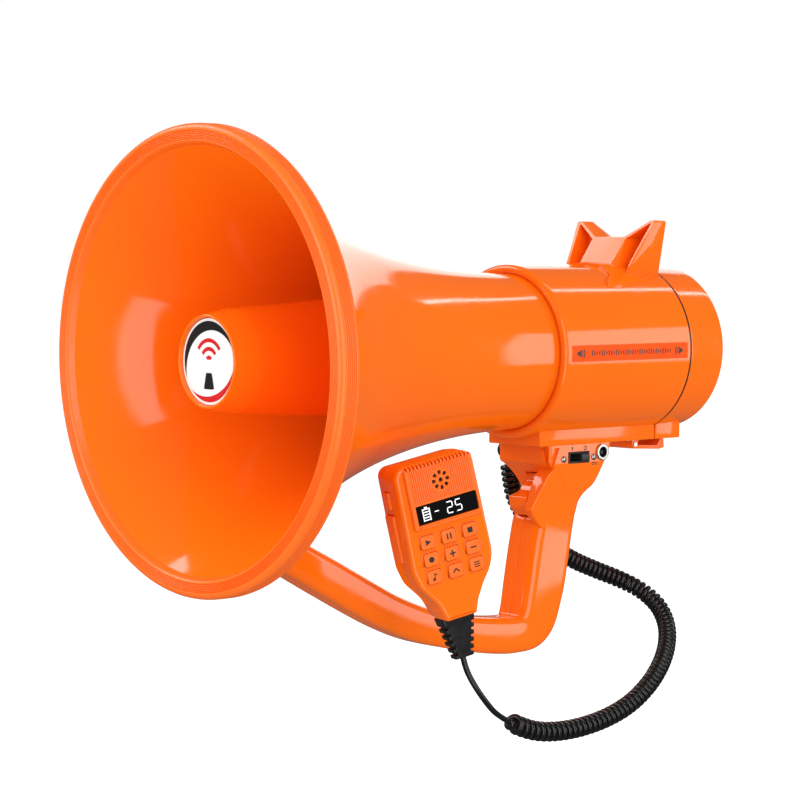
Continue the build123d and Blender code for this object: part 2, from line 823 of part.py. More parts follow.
with BuildPart() as ptt:
    add(mic_box(-20.4, ptt_site[1], 6.0, 23.8, ptt_mid - 4.4, ptt_mid + 4.4, 1.0))
    add(mic_box(-17.5, ptt_site[1], 1.0, 26, ptt_mid - 5.2, ptt_mid + 5.2))
save(ptt.part, "ptt_bar")

with BuildPart() as side_button:
    add(mic_box(-20.2, button_site[1], 5.4, 8.8, ptt_mid - 3.0, ptt_mid + 3.0, 1.0))
    add(mic_box(-17.5, button_site[1], 1.0, 10, ptt_mid - 4.4, ptt_mid + 4.4))
save(side_button.part, "side_button")

# ---- ribbed boot where the cord enters the microphone ----
boot_plane = Plane(origin=mic_face.from_local_coords(Vector(-0.5, -38.5, -11.5)),
                   x_dir=mic_face.x_dir, z_dir=-mic_face.y_dir)
boot_long = 23.5
with BuildPart() as boot:
    with BuildSketch(boot_plane):
        Rectangle(12.0, 11.0)
    extrude(amount=2.1)
    with BuildSketch(boot_plane.offset(2.1)):
        RectangleRounded(18.4, 14.0, 1.5)
    with BuildSketch(boot_plane.offset(boot_long)):
        RectangleRounded(10.4, 9.0, 1.5)
    loft(ruled=True)
    for i in range(5):
        for s in (1, -1):
            with BuildSketch(boot_plane.offset(6.2 + 3.5 * i)):
                with Locations((s * (8.6 - 0.72 * i), 0)):
                    Rectangle(4.4, 16)
            extrude(amount=1.6, mode=Mode.SUBTRACT)
save(boot.part, "mic_boot")
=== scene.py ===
import bpy
import bmesh
from math import acos, cos, cosh, hypot, pi, radians, sin, sinh, tan
from mathutils import Matrix, Vector


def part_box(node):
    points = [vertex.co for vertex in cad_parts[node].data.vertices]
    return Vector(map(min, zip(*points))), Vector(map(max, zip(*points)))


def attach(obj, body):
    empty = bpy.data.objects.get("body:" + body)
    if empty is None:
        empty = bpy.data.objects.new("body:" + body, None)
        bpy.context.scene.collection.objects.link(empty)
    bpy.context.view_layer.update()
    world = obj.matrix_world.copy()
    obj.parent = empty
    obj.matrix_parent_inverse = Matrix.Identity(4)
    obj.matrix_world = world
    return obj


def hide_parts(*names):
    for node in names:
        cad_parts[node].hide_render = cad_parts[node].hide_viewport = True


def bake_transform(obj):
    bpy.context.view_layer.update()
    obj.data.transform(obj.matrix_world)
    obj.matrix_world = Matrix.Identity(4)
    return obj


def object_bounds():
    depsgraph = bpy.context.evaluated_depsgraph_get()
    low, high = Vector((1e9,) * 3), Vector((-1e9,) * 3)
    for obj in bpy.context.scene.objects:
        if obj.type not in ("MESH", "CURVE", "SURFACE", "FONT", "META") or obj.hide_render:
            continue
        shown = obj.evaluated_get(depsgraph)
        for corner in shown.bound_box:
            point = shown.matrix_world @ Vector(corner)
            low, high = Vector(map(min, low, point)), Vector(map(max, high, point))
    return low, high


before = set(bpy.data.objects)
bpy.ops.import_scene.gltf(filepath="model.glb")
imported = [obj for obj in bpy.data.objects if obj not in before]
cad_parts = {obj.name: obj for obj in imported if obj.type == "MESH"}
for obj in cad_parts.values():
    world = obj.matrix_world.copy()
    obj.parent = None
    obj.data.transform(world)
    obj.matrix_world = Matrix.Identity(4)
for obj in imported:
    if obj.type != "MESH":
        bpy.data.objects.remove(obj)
cad_box = [list(corner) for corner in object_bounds()]


# ---- camera, studio light and floor ----
# The megaphone is looked at from its switch side and a little ahead of the mouth, at grip height.
# Large soft boxes stand round it, as for a catalogue picture of a glossy product, over a pale floor.
scene = bpy.context.scene
scene.view_settings.view_transform = "Standard"
camera_data = bpy.data.cameras.new("camera")
camera_data.lens = 112.5
camera_data.sensor_width = 36.0
camera = bpy.data.objects.new("camera", camera_data)
camera.location = (-0.9517, -0.9734, 0.1647)
camera_dip, camera_turn = 3.226, -41.188
camera.rotation_euler = (radians(90 - camera_dip), 0, radians(camera_turn))
scene.collection.objects.link(camera)
scene.camera = camera

aim = Vector((-0.02, 0.0, 0.09))


def soft_box(name, place, size, watts):
    """A rectangular studio light that faces the megaphone."""
    data = bpy.data.lights.new(name, "AREA")
    data.shape = "RECTANGLE"
    data.size, data.size_y = size
    data.energy = watts
    light = bpy.data.objects.new(name, data)
    light.location = place
    light.rotation_euler = (aim - Vector(place)).to_track_quat("-Z", "Y").to_euler()
    scene.collection.objects.link(light)


soft_box("key_box", (-0.8, -1.9, 0.15), (1.2, 3.0), 32)
soft_box("mouth_box", (-2.0, 0.2, 0.5), (1.2, 1.3), 15)
soft_box("side_box", (1.5, -1.6, 0.25), (0.8, 1.2), 9)
soft_box("strip_box", (1.3, -0.05, 1.6), (0.1, 1.5), 3)
soft_box("top_box", (-0.8, 1.5, 1.4), (0.9, 0.9), 12)
soft_box("back_box", (2.0, 1.3, 0.75), (1.6, 1.0), 9)

world = bpy.data.worlds.new("studio")
world.use_nodes = True
sky = world.node_tree
dim = sky.nodes["Background"]
dim.inputs["Color"].default_value = (1, 1, 1, 1)
seen = sky.nodes.new("ShaderNodeLightPath")
soft_fill, mirrored_fill = 0.76, 0.12
fill = sky.nodes.new("ShaderNodeMapRange")
fill.inputs["To Min"].default_value = mirrored_fill
fill.inputs["To Max"].default_value = soft_fill
level = sky.nodes.new("ShaderNodeMath")
level.operation = "MAXIMUM"
sky.links.new(seen.outputs["Is Diffuse Ray"], fill.inputs["Value"])
sky.links.new(fill.outputs["Result"], level.inputs[0])
sky.links.new(seen.outputs["Is Camera Ray"], level.inputs[1])
sky.links.new(level.outputs["Value"], dim.inputs["Strength"])
scene.world = world

floor_size = 30.0
floor_drop = 0.16
bpy.ops.mesh.primitive_plane_add(size=floor_size, location=(0, 0, cad_box[0][2] - floor_drop))
floor = bpy.context.object
floor.name = "floor"
floor_paint = bpy.data.materials.new("pale_floor")
floor_paint.use_nodes = True
floor_look = floor_paint.node_tree.nodes["Principled BSDF"].inputs
floor_look["Base Color"].default_value = (0.3, 0.3, 0.3, 1)
floor_look["Roughness"].default_value = 0.7
floor_look["Emission Color"].default_value = (1, 1, 1, 1)
floor_look["Emission Strength"].default_value = 0.9
floor.data.materials.append(floor_paint)
floor.visible_diffuse = False
floor.visible_glossy = False


# ---- curly cord ----
# A round polyurethane lead, wound into a long spring that hangs in a loop from the block to the
# microphone. Its last stretch is straight and goes up into the microphone's boot.
MM = 0.001
cord_d = 3.0 * MM
coil_outer = 10.4 * MM
coil_pitches = (3.35 * MM, 4.9 * MM)
opens_from, opens_over = 0.42, 0.3
coil_ease_turns, lead_step, cord_sides = 0.8, 1.2 * MM, 10
coil_route = [
    (5.2, 28.6, 53.4), (7.4, 29.2, 43.6), (10.9, 30, 32.2), (18.5, 29, 20.0), (33.2, 28, 5.8),
    (50.4, 26, -4.9), (67.9, 22.5, -12.4), (82.8, 17, -18.6), (92.9, 9.5, -25.0), (95.9, -0.5, -32.6),
    (92.2, -10.5, -41.2), (83.2, -20, -49.6), (68.5, -30, -58.6), (47.9, -40, -67.5), (21.7, -49.5, -75.0),
    (-6.5, -57.5, -78.6), (-36.3, -64.5, -79.2), (-62.0, -70, -76.8), (-80.7, -73.5, -72.2),
    (-93.4, -75.5, -66.5),
]
lead_route = [
    (-93.4, -75.5, -66.5), (-103.16, -77.04, -62.12), (-112.4, -77.8, -53.4), (-118.8, -76.6, -44.6),
    (-122.2, -74.4, -36.6), (-123.5, -74.03, -30.8),
]


def smooth_route(points):
    """The points of a NURBS line with these control points, in metres."""
    data = bpy.data.curves.new("route", "CURVE")
    data.dimensions = "3D"
    data.resolution_u = 24
    line = data.splines.new("NURBS")
    line.points.add(len(points) - 1)
    for control, place in zip(line.points, points):
        control.co = (place[0] * MM, place[1] * MM, place[2] * MM, 1)
    line.order_u = 3
    line.use_endpoint_u = True
    carrier = bpy.data.objects.new("route", data)
    traced = bpy.data.meshes.new_from_object(carrier)
    out = [v.co.copy() for v in traced.vertices]
    bpy.data.objects.remove(carrier)
    bpy.data.curves.remove(data)
    bpy.data.meshes.remove(traced)
    return out


def evenly(points, step):
    """The line again, with points about a step apart."""
    total = sum((b - a).length for a, b in zip(points, points[1:]))
    count = max(2, round(total / step))
    out, along, i = [points[0].copy()], 0.0, 0
    for k in range(1, count):
        want = total * k / count
        while along + (points[i + 1] - points[i]).length < want:
            along += (points[i + 1] - points[i]).length
            i += 1
        run = points[i + 1] - points[i]
        out.append(points[i] + run * ((want - along) / run.length))
    return out + [points[-1].copy()]


def carried_frames(points):
    """A tangent and two sideways vectors at each point, carried along without twist."""
    out = []
    side = None
    for i in range(len(points)):
        ahead = (points[min(i + 1, len(points) - 1)] - points[max(i - 1, 0)]).normalized()
        if side is None:
            side = ahead.orthogonal().normalized()
        side = (side - ahead * side.dot(ahead)).normalized()
        out.append((ahead, side, ahead.cross(side)))
    return out


def wound(points, radius, pitches, ease_turns, steps_per_turn=22):
    """A helix round a line, opening from the first pitch to the last; its ends ease on to the line."""
    long = sum((b - a).length for a, b in zip(points, points[1:]))
    fine = evenly(points, pitches[0] / steps_per_turn)
    turns = [0.0]
    for i in range(1, len(fine)):
        share = min(1, max(0, (i / len(fine) - opens_from) / opens_over))
        pitch = pitches[0] + (pitches[1] - pitches[0]) * share * share * (3 - 2 * share)
        turns.append(turns[-1] + long / (len(fine) - 1) / pitch)
    out = []
    for place, turn, (ahead, side, up) in zip(fine, turns, carried_frames(fine)):
        ease = min(1.0, turn / ease_turns, (turns[-1] - turn) / ease_turns)
        ease = ease * ease * (3 - 2 * ease)
        angle = 2 * pi * turn
        out.append(place + (side * cos(angle) + up * sin(angle)) * radius * ease)
    return out


def tube_mesh(points, radius, sides):
    """A closed round tube along a line, as vertices and faces."""
    verts, faces = [], []
    for place, (ahead, side, up) in zip(points, carried_frames(points)):
        for k in range(sides):
            angle = 2 * pi * k / sides
            verts.append(place + (side * cos(angle) + up * sin(angle)) * radius)
    for i in range(len(points) - 1):
        for k in range(sides):
            a, b = i * sides + k, i * sides + (k + 1) % sides
            faces.append((a, b, b + sides, a + sides))
    faces.append(tuple(reversed(range(sides))))
    faces.append(tuple(range((len(points) - 1) * sides, len(points) * sides)))
    return verts, faces


def smoothed(piece, sharp):
    """Shades a piece smooth, except at edges sharper than the angle."""
    piece.data.polygons.foreach_set("use_smooth", [True] * len(piece.data.polygons))
    piece.data.set_sharp_from_angle(angle=radians(sharp))
    return piece


def new_piece(name, verts, faces, material, sharp=35.0):
    """A mesh object in the row's frame, faces outwards, smooth except at sharp edges."""
    data = bpy.data.meshes.new(name)
    data.from_pydata([tuple(v) for v in verts], [], faces)
    work = bmesh.new()
    work.from_mesh(data)
    bmesh.ops.remove_doubles(work, verts=work.verts, dist=2e-6)
    bmesh.ops.recalc_face_normals(work, faces=work.faces)
    work.to_mesh(data)
    work.free()
    data.materials.append(material)
    piece = bpy.data.objects.new(name, data)
    scene.collection.objects.link(piece)
    return smoothed(piece, sharp)


def surface(name, colour, roughness, drift=0.06, drift_size=25.0, scuff=0.06, scuff_size=180.0,
            grain=0.0, grain_size=900.0, metallic=0.0, coat=0.0, sheen=0.0):
    """A moulded or plated surface: slow colour drift, scuffed gloss and a fine grain in relief."""
    made = bpy.data.materials.new(name)
    made.use_nodes = True
    tree = made.node_tree
    shader = tree.nodes["Principled BSDF"]
    place = tree.nodes.new("ShaderNodeTexCoord")

    def noise(size, detail):
        cloud = tree.nodes.new("ShaderNodeTexNoise")
        cloud.inputs["Scale"].default_value = size
        cloud.inputs["Detail"].default_value = detail
        tree.links.new(place.outputs["Object"], cloud.inputs["Vector"])
        return cloud

    def between(source, low, high):
        spread = tree.nodes.new("ShaderNodeMapRange")
        spread.inputs["From Min"].default_value = 0.3
        spread.inputs["From Max"].default_value = 0.7
        spread.inputs["To Min"].default_value = low
        spread.inputs["To Max"].default_value = high
        tree.links.new(source, spread.inputs["Value"])
        return spread.outputs["Result"]

    tint = tree.nodes.new("ShaderNodeMix")
    tint.data_type = "RGBA"
    tint.inputs["A"].default_value = (*[c * (1 - drift) for c in colour], 1)
    tint.inputs["B"].default_value = (*[min(1.0, c * (1 + drift)) for c in colour], 1)
    tree.links.new(between(noise(drift_size, 3.0).outputs["Fac"], 0.0, 1.0), tint.inputs["Factor"])
    tree.links.new(tint.outputs["Result"], shader.inputs["Base Color"])
    marks = noise(scuff_size, 8.0)
    tree.links.new(
        between(marks.outputs["Fac"], max(0.02, roughness - scuff), roughness + scuff),
        shader.inputs["Roughness"],
    )
    if grain:
        relief = tree.nodes.new("ShaderNodeBump")
        relief.inputs["Strength"].default_value = grain
        relief.inputs["Distance"].default_value = 0.1 * MM
        tree.links.new(noise(grain_size, 4.0).outputs["Fac"], relief.inputs["Height"])
        tree.links.new(relief.outputs["Normal"], shader.inputs["Normal"])
    shader.inputs["Metallic"].default_value = metallic
    shader.inputs["Coat Weight"].default_value = coat
    shader.inputs["Coat Roughness"].default_value = 0.04
    if sheen:
        shader.inputs["Sheen Weight"].default_value = sheen
    return made


cord_jacket = surface("cord_jacket", (0.006, 0.006, 0.0065), 0.22, drift=0.25, drift_size=60, scuff=0.06,
                      scuff_size=400, grain=0.12, grain_size=1500)
coil_middle = smooth_route(coil_route)
lead_middle = smooth_route(lead_route)
cord_path = wound(coil_middle, (coil_outer - cord_d) / 2, coil_pitches, coil_ease_turns)
cord_path += evenly(lead_middle, lead_step)[1:]
cord = new_piece("curly_cord", *tube_mesh(cord_path, cord_d / 2, cord_sides), cord_jacket, sharp=80)
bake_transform(cord)
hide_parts("cord_coil", "cord_lead")


# ---- horn: bell, ridged rim guard, reflector and badge ----
# The bell is one thin glossy orange moulding, with a ridged ring of softer plastic pressed over its
# edge and the reflector cup hung in its middle on the throat tube. Outlines are in millimetres
# from the horn's own axis, x back from the mouth and z up.
rim_low, rim_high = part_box("rim_guard")
mouth = Vector((rim_low.x, 0, (rim_low.z + rim_high.z) / 2))


def in_horn(x, y, z):
    """A place in the row's frame from millimetres behind the mouth, sideways and above the axis."""
    return mouth + Vector((x, y, z)) * MM


def rounded(points, radii, steps=5):
    """A closed outline with each corner rounded; radii is one number or one for each corner."""
    radii = [radii] * len(points) if isinstance(radii, (int, float)) else radii
    out = []
    for i, (corner, r) in enumerate(zip(points, radii)):
        here = Vector(corner)
        back = Vector(points[i - 1]) - here
        on = Vector(points[(i + 1) % len(points)]) - here
        half = acos(max(-1, min(1, back.normalized().dot(on.normalized())))) / 2
        reach = min(r / tan(half) if r else 0, back.length * 0.49, on.length * 0.49)
        if reach < 1e-6 or half > radians(89):
            out.append(here)
            continue
        start, end = here + back.normalized() * reach, here + on.normalized() * reach
        middle = here + (back.normalized() + on.normalized()).normalized() * (reach / cos(half))
        a, b = start - middle, end - middle
        sweep = a.angle_signed(b)
        for k in range(steps + 1):
            t = -sweep * k / steps
            out.append(middle + Vector((a.x * cos(t) - a.y * sin(t), a.x * sin(t) + a.y * cos(t))))
    return out


def lathed(profile, segments=180):
    """A closed outline turned about the horn's axis, as vertices and faces."""
    verts, faces = [], []
    for k in range(segments):
        angle = 2 * pi * k / segments
        for x, r in profile:
            verts.append(in_horn(x, r * cos(angle), r * sin(angle)))
    n = len(profile)
    for k in range(segments):
        for i in range(n):
            a, b = k * n + i, k * n + (i + 1) % n
            c, d = ((k + 1) % segments) * n + (i + 1) % n, ((k + 1) % segments) * n + i
            faces.append((a, b, c, d))
    return verts, faces


def lofted(rings):
    """Rings of equally many points, joined in order and closed by end caps."""
    n = len(rings[0])
    verts = [v for ring in rings for v in ring]
    faces = []
    for i in range(len(rings) - 1):
        for k in range(n):
            a, b = i * n + k, i * n + (k + 1) % n
            faces.append((a, b, b + n, a + n))
    faces.append(tuple(reversed(range(n))))
    faces.append(tuple(range((len(rings) - 1) * n, len(rings) * n)))
    return verts, faces


def joined(*shapes):
    """Several shapes as one list of vertices and one of faces."""
    verts, faces = [], []
    for shape_verts, shape_faces in shapes:
        faces += [tuple(i + len(verts) for i in face) for face in shape_faces]
        verts += list(shape_verts)
    return verts, faces


def finished(piece, body, slot, *nodes):
    """Rides a piece on its body and hides the CAD nodes that it stands for; slot is not used."""
    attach(piece, body)
    if nodes:
        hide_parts(*nodes)
    return piece


orange = (0.96, 0.156, 0.004)
gloss_orange = surface("gloss_orange", orange, 0.1, drift=0.03, drift_size=9, scuff=0.035, scuff_size=120,
                       grain=0.02, grain_size=700)
soft_orange = surface("soft_orange", (0.95, 0.15, 0.004), 0.34, drift=0.05, drift_size=14, scuff=0.07,
                      scuff_size=260, grain=0.12, grain_size=1600)

neck_r, flare_rate, flare_gain, flare_end, bell_wall = 42.0, 0.009, 28.06, 212.0, 2.5
bell_front, bell_rear = 4.0, 219.0


def bell_radius(x):
    return neck_r + flare_gain * (cosh(flare_rate * (flare_end - min(x, flare_end))) - 1)


def bell_inner(x):
    slope = flare_gain * flare_rate * sinh(flare_rate * (flare_end - min(x, flare_end)))
    return bell_radius(x) - bell_wall * hypot(1, slope)


bell_count, round_fine = 56, 240
bell_steps = [bell_front + (bell_rear - bell_front) * i / bell_count for i in range(bell_count + 1)]
bell_outline = [(x, bell_radius(x)) for x in bell_steps] + [(x, bell_inner(x)) for x in reversed(bell_steps)]
bell = new_piece("horn_bell", *lathed(bell_outline, round_fine), gloss_orange)
finished(bell, "megaphone", "orange_gloss", "bell")

rim_r, rim_lip_r, rim_depth, ridge_deep = 115.0, 106.0, 12.0, 0.6
face_ridges, side_ridges = 6, 5


def ridged(start, end, count, inward):
    """Points from start to end with rounded grooves sunk towards inward."""
    out = []
    steps = count * 8
    for i in range(steps + 1):
        t = i / steps
        sunk = ridge_deep * (0.5 - 0.5 * cos(2 * pi * count * t)) ** 2
        out.append((start[0] + (end[0] - start[0]) * t + inward[0] * sunk,
                    start[1] + (end[1] - start[1]) * t + inward[1] * sunk))
    return out


def quarter(centre, r, start, end, steps=6):
    """An arc between two angles in degrees."""
    return [(centre[0] + r * cos(radians(start + (end - start) * i / steps)),
             centre[1] + r * sin(radians(start + (end - start) * i / steps))) for i in range(steps + 1)]


rim_outline = (
    [(bell_front, bell_inner(bell_front) + 0.2), (2.2, rim_lip_r - 0.9), (1.0, rim_lip_r - 0.3),
     (0.3, rim_lip_r + 0.2)]
    + ridged((0, rim_lip_r + 0.9), (0, rim_r - 3.2), face_ridges, (1, 0))
    + quarter((3.2, rim_r - 3.2), 3.2, 175, 95)
    + ridged((3.4, rim_r), (9.2, rim_r), side_ridges, (0, -1))
    + quarter((9.2, rim_r - 2.8), 2.8, 85, 5)
    + [(rim_depth, 104.0), (rim_depth, bell_radius(rim_depth) + 0.1), (8, bell_radius(8) + 0.1),
       (bell_front, bell_radius(bell_front) + 0.1)]
)
rim = new_piece("rim_ring", *lathed(rim_outline, round_fine), soft_orange, sharp=50)
finished(rim, "megaphone", "orange_rim", "rim_guard")

cup_outline = rounded(
    [(13, 0.0), (13, 21.4), (10, 21.6), (10, 22.9), (25, 25.8), (82, 29.5), (150, 34.0), (150, 32.0),
     (82, 27.5), (25, 23.8), (15, 21.5), (15, 0.0)],
    [0, 0.5, 0.5, 0.7, 12, 60, 0.8, 0.8, 60, 2, 1, 0],
)
cup = new_piece("reflector_bullet", *lathed(cup_outline, 160), gloss_orange)
finished(cup, "megaphone", "orange_gloss", "reflector_cup")

badge_white = surface("badge_white", (0.86, 0.86, 0.85), 0.22, drift=0.02, scuff=0.05, coat=0.5)
badge_ink = surface("badge_ink", (0.012, 0.011, 0.011), 0.3, drift=0.2, scuff=0.05)
badge_red = surface("badge_red", (0.62, 0.012, 0.012), 0.28, drift=0.05, scuff=0.05)
badge_r, badge_face, badge_back = 21.2, 11.9, 13.0
badge_outline = rounded(
    [(badge_face, 0.0), (badge_face, badge_r), (badge_back, badge_r), (badge_back, 0.0)], [0, 0.3, 0, 0])
badge = new_piece("badge_plate", *lathed(badge_outline, 96), badge_white)
finished(badge, "megaphone", "badge_print", "badge_disc")


def band(r_in, r_out, start, end, lift, taper=False, steps=40):
    """A flat printed arc on the badge, between two radii and two angles, as thin raised ink."""
    rings = []
    for i in range(steps + 1):
        t = i / steps
        angle = radians(start + (end - start) * t)
        swell = sin(pi * t) if taper else 1.0
        low = r_out - (r_out - r_in) * max(swell, 0.04)
        top = badge_face - lift
        corners = ((top, low), (top, r_out), (badge_face, r_out), (badge_face, low))
        rings.append([in_horn(x, -r * cos(angle), r * sin(angle)) for x, r in corners])
    return lofted(rings)


def patch(points, lift):
    """A flat printed shape on the badge, from an outline in (left to right, up)."""
    rings = []
    for x in (badge_face - lift, badge_face):
        rings.append([in_horn(x, -v[0], v[1]) for v in points])
    return lofted(rings)


ink_lift = 0.06
black_marks = joined(
    band(14.8, 19.8, 20, 205, ink_lift, taper=True),
    patch(rounded([(-4.2, -13.5), (4.2, -13.5), (2.3, -5.5), (-2.3, -5.5)], 0.8), ink_lift),
)
red_marks = joined(
    band(16.6, 19.8, 225, 352, ink_lift, taper=True),
    *[band(r, r + 2.0, 35, 145, ink_lift) for r in (1.0, 5.2, 9.4)],
)
ink = new_piece("badge_black_marks", *black_marks, badge_ink)
finished(ink, "megaphone", "black_plastic")
red = new_piece("badge_red_marks", *red_marks, badge_red)
finished(red, "megaphone", "badge_print")


# ---- throat horn, spider and compression driver ----
# Inside the barrel a steel-cased driver pushes through a narrow tube to the middle of the reflector,
# which throws the sound back round the cup. A spider holds the cup on the tube's end.


def dressed(material, *nodes):
    """Gives CAD nodes, which stay as they are, their real material."""
    for name in nodes:
        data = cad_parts[name].data
        data.materials.clear()
        data.materials.append(material)


inner_orange = surface("inner_orange", (0.9, 0.11, 0.004), 0.38, drift=0.05, drift_size=20, scuff=0.06,
                       grain=0.1, grain_size=1100)
zinc_steel = surface("zinc_steel", (0.6, 0.61, 0.62), 0.34, drift=0.08, scuff=0.08, scuff_size=300,
                     grain=0.1, metallic=1.0)
ferrite = surface("ferrite", (0.035, 0.034, 0.034), 0.6, drift=0.2, drift_size=90, grain=0.4)
film = surface("film", (0.62, 0.5, 0.3), 0.3, drift=0.08, drift_size=60, scuff=0.05)
copper = surface("copper", (0.75, 0.3, 0.14), 0.32, drift=0.1, drift_size=200, grain=0.3, metallic=1.0)
dressed(inner_orange, "throat_horn", "reflector_spider", "driver_cover")
dressed(zinc_steel, "driver_front_plate", "driver_yoke")
dressed(ferrite, "driver_magnet")
dressed(film, "diaphragm")
dressed(copper, "voice_coil")


# ---- battery, amplifier and contacts ----
# The cells stand in a black holder behind the driver. The amplifier board with its heat sink fills
# the space beside them and two sprung strips carry the current.
black_moulding = surface("black_moulding", (0.014, 0.014, 0.015), 0.38, drift=0.2, drift_size=40, scuff=0.08,
                         grain=0.2, grain_size=1300)
cell_wrap = surface("cell_wrap", (0.02, 0.16, 0.5), 0.24, drift=0.06, scuff=0.05, coat=0.4)
bright_steel = surface("bright_steel", (0.45, 0.45, 0.44), 0.22, drift=0.04, scuff=0.05, scuff_size=500,
                       metallic=1.0)
board_green = surface("board_green", (0.01, 0.13, 0.045), 0.3, drift=0.15, drift_size=150, grain=0.15,
                      coat=0.3)
alloy = surface("alloy", (0.62, 0.63, 0.64), 0.36, drift=0.06, scuff=0.08, grain=0.15, metallic=1.0)
dressed(black_moulding, "battery_holder", "board_components")
dressed(cell_wrap, "battery_cells")
dressed(bright_steel, "battery_contacts")
dressed(board_green, "amplifier_board", "mic_board", "display_module")
dressed(alloy, "heat_sink")


# ---- barrel with its rail ----
# A glossy orange tube with a thick rolled front lip over the bell's neck. The rail under it carries
# the handle, and a raised strip along its side carries the rating marks.
barrel_r, barrel_in, barrel_front, barrel_rear, lip_r = 46.8, 44.4, 209.0, 306.0, 42.4
barrel_outline = (
    [(barrel_front + 7, barrel_r), (barrel_rear - 0.8, barrel_r)]
    + rounded([(barrel_rear - 0.4, barrel_r), (barrel_rear, barrel_r), (barrel_rear, barrel_in),
               (barrel_rear - 0.4, barrel_in)], [0, 0.25, 0.25, 0])
    + [(barrel_front + 8, barrel_in), (barrel_front + 6.4, barrel_in), (barrel_front + 6, 44.0),
       (barrel_front + 6, lip_r), (barrel_front + 2, lip_r)]
    + quarter((barrel_front + 2.6, 44.2), 2.6, 235, 100, 10)
    + [(barrel_front + 3.4, barrel_r), (barrel_front + 4.5, barrel_r)]
)


def rail_block(x0, x1):
    """The rail under the barrel, hollowed on top to sit in the barrel's wall."""
    seat = quarter((0, 0), 45.4, -116, -64, 16)
    outline = [(-20, -50.5), (20, -50.5), (20, -42)] + list(reversed(seat)) + [(-20, -42)]
    return lofted([[in_horn(x, y, z) for y, z in outline] for x in (x0, x1)])


def modified(piece):
    """Applies every modifier on a piece."""
    bpy.context.view_layer.update()
    data = bpy.data.meshes.new_from_object(piece.evaluated_get(bpy.context.evaluated_depsgraph_get()))
    piece.modifiers.clear()
    piece.data = data
    return piece


def softened(piece, width, segments=3, angle=35.0):
    """Rounds a piece's sharp edges."""
    soft = piece.modifiers.new("edge", "BEVEL")
    soft.width = width * MM
    soft.segments = segments
    soft.limit_method = "ANGLE"
    soft.angle_limit = radians(angle)
    return smoothed(modified(piece), 40)


rail_front, rail_edge = 217.0, 0.5
rail = new_piece("rail_block", *rail_block(rail_front, barrel_rear), gloss_orange)
finished(softened(rail, rail_edge, 3, 50), "megaphone", "orange_gloss")
barrel = new_piece("barrel_tube", *lathed(barrel_outline, 200), gloss_orange)
finished(barrel, "megaphone", "orange_gloss", "barrel_shell")


# ---- rear cap and its latch ----
# The cap is pushed over the barrel's end against a gasket, leaving a narrow dark seam. The gasket
# ring is drawn out flush with the barrel's surface, so its black also stands as painted shade in the
# seam's gap. A small sprung lever on the barrel hooks it shut.
cap_front, cap_rear, cap_rail_rear = barrel_rear + 1.15, 336.0, 327.0
cap_tuck, cap_in = barrel_rear - 6, 44.1
slot_rows, slot_wide, slot_tall, slot_deep = (-14, -7, 0, 7, 14), 30, 2, 0.8
cap_outline = (
    [(cap_front + 1.4, barrel_r - 0.07), (cap_rear - 6.5, barrel_r - 1.2)]
    + rounded([(cap_rear - 6.2, barrel_r - 1.22), (cap_rear, barrel_r - 1.5), (cap_rear, 39.0),
               (cap_rear, 0), (cap_rear - 2.4, 0), (cap_rear - 2.4, 39), (cap_rear - 7, 43), (cap_tuck, 43),
               (cap_tuck, cap_in), (cap_front, cap_in), (cap_front, barrel_r), (cap_front + 0.7, barrel_r)],
              [0, 5.9, 0, 0, 0, 1, 1, 0.3, 0.3, 0, 0.3, 0], steps=8)
)
cap_rail = new_piece("cap_rail", *rail_block(cap_front, cap_rail_rear), gloss_orange)
finished(softened(cap_rail, rail_edge, 3, 50), "rear_cap", "orange_gloss")


def oblong(centre, width, height, corner, steps=5):
    """A rectangle with round corners."""
    a, b = width / 2, height / 2
    x, z = centre
    return rounded([(x - a, z - b), (x + a, z - b), (x + a, z + b), (x - a, z + b)], corner, steps)


def cut(piece, *cutters):
    """Takes the cutters' shapes, given as vertices and faces, out of a piece."""
    tools = []
    for number, shape in enumerate(cutters):
        tool = new_piece(f"cutter_{number}", *shape, piece.data.materials[0])
        tools.append(tool)
        hollow = piece.modifiers.new("hollow", "BOOLEAN")
        hollow.operation = "DIFFERENCE"
        hollow.solver = "EXACT"
        hollow.object = tool
    modified(piece)
    for tool in tools:
        bpy.data.objects.remove(tool)
    return smoothed(piece, 35)


cap = new_piece("battery_cap", *lathed(cap_outline, 200), gloss_orange)
slots = []
for row in slot_rows:
    slot = oblong((0, row), slot_wide, slot_tall, 0.95)
    slots.append(lofted([[in_horn(x, p.x, p.y) for p in slot]
                         for x in (cap_rear - slot_deep, cap_rear + 1)]))
cut(cap, joined(*slots))
finished(cap, "rear_cap", "orange_gloss", "rear_cap")
black_rubber = surface("black_rubber", (0.009, 0.009, 0.009), 0.36, drift=0.25, drift_size=60, scuff=0.08,
                       grain=0.35, grain_size=1400)
# Black ring in the seam, reaching out to the barrel's surface: the real gasket, and painted shade of the
# gap.
gasket_shade_front, gasket_shade_rear, gasket_shade_in = barrel_rear + 0.04, cap_front - 0.04, 44.6
gasket_shade_outline = rounded([(gasket_shade_front, gasket_shade_in), (gasket_shade_rear, gasket_shade_in), (gasket_shade_rear, barrel_r),
                          (gasket_shade_front, barrel_r)], 0.1, 3)
gasket_shade_ring = new_piece("seam_gasket", *lathed(gasket_shade_outline, 160), black_rubber)
finished(gasket_shade_ring, "megaphone", "black_rubber", "cap_gasket")


def edged(node, name, width, material, segments=3, angle=30.0):
    """A copy of a CAD node with its sharp edges rounded as a mould leaves them."""
    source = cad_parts[node]
    work = bmesh.new()
    work.from_mesh(source.data)
    bmesh.ops.remove_doubles(work, verts=work.verts, dist=1e-6)
    bmesh.ops.dissolve_limit(
        work, angle_limit=radians(1.0), verts=work.verts, edges=work.edges, use_dissolve_boundaries=False
    )
    data = bpy.data.meshes.new(name)
    work.to_mesh(data)
    work.free()
    piece = bpy.data.objects.new(name, data)
    scene.collection.objects.link(piece)
    data.materials.append(material)
    return softened(piece, width, segments, angle)


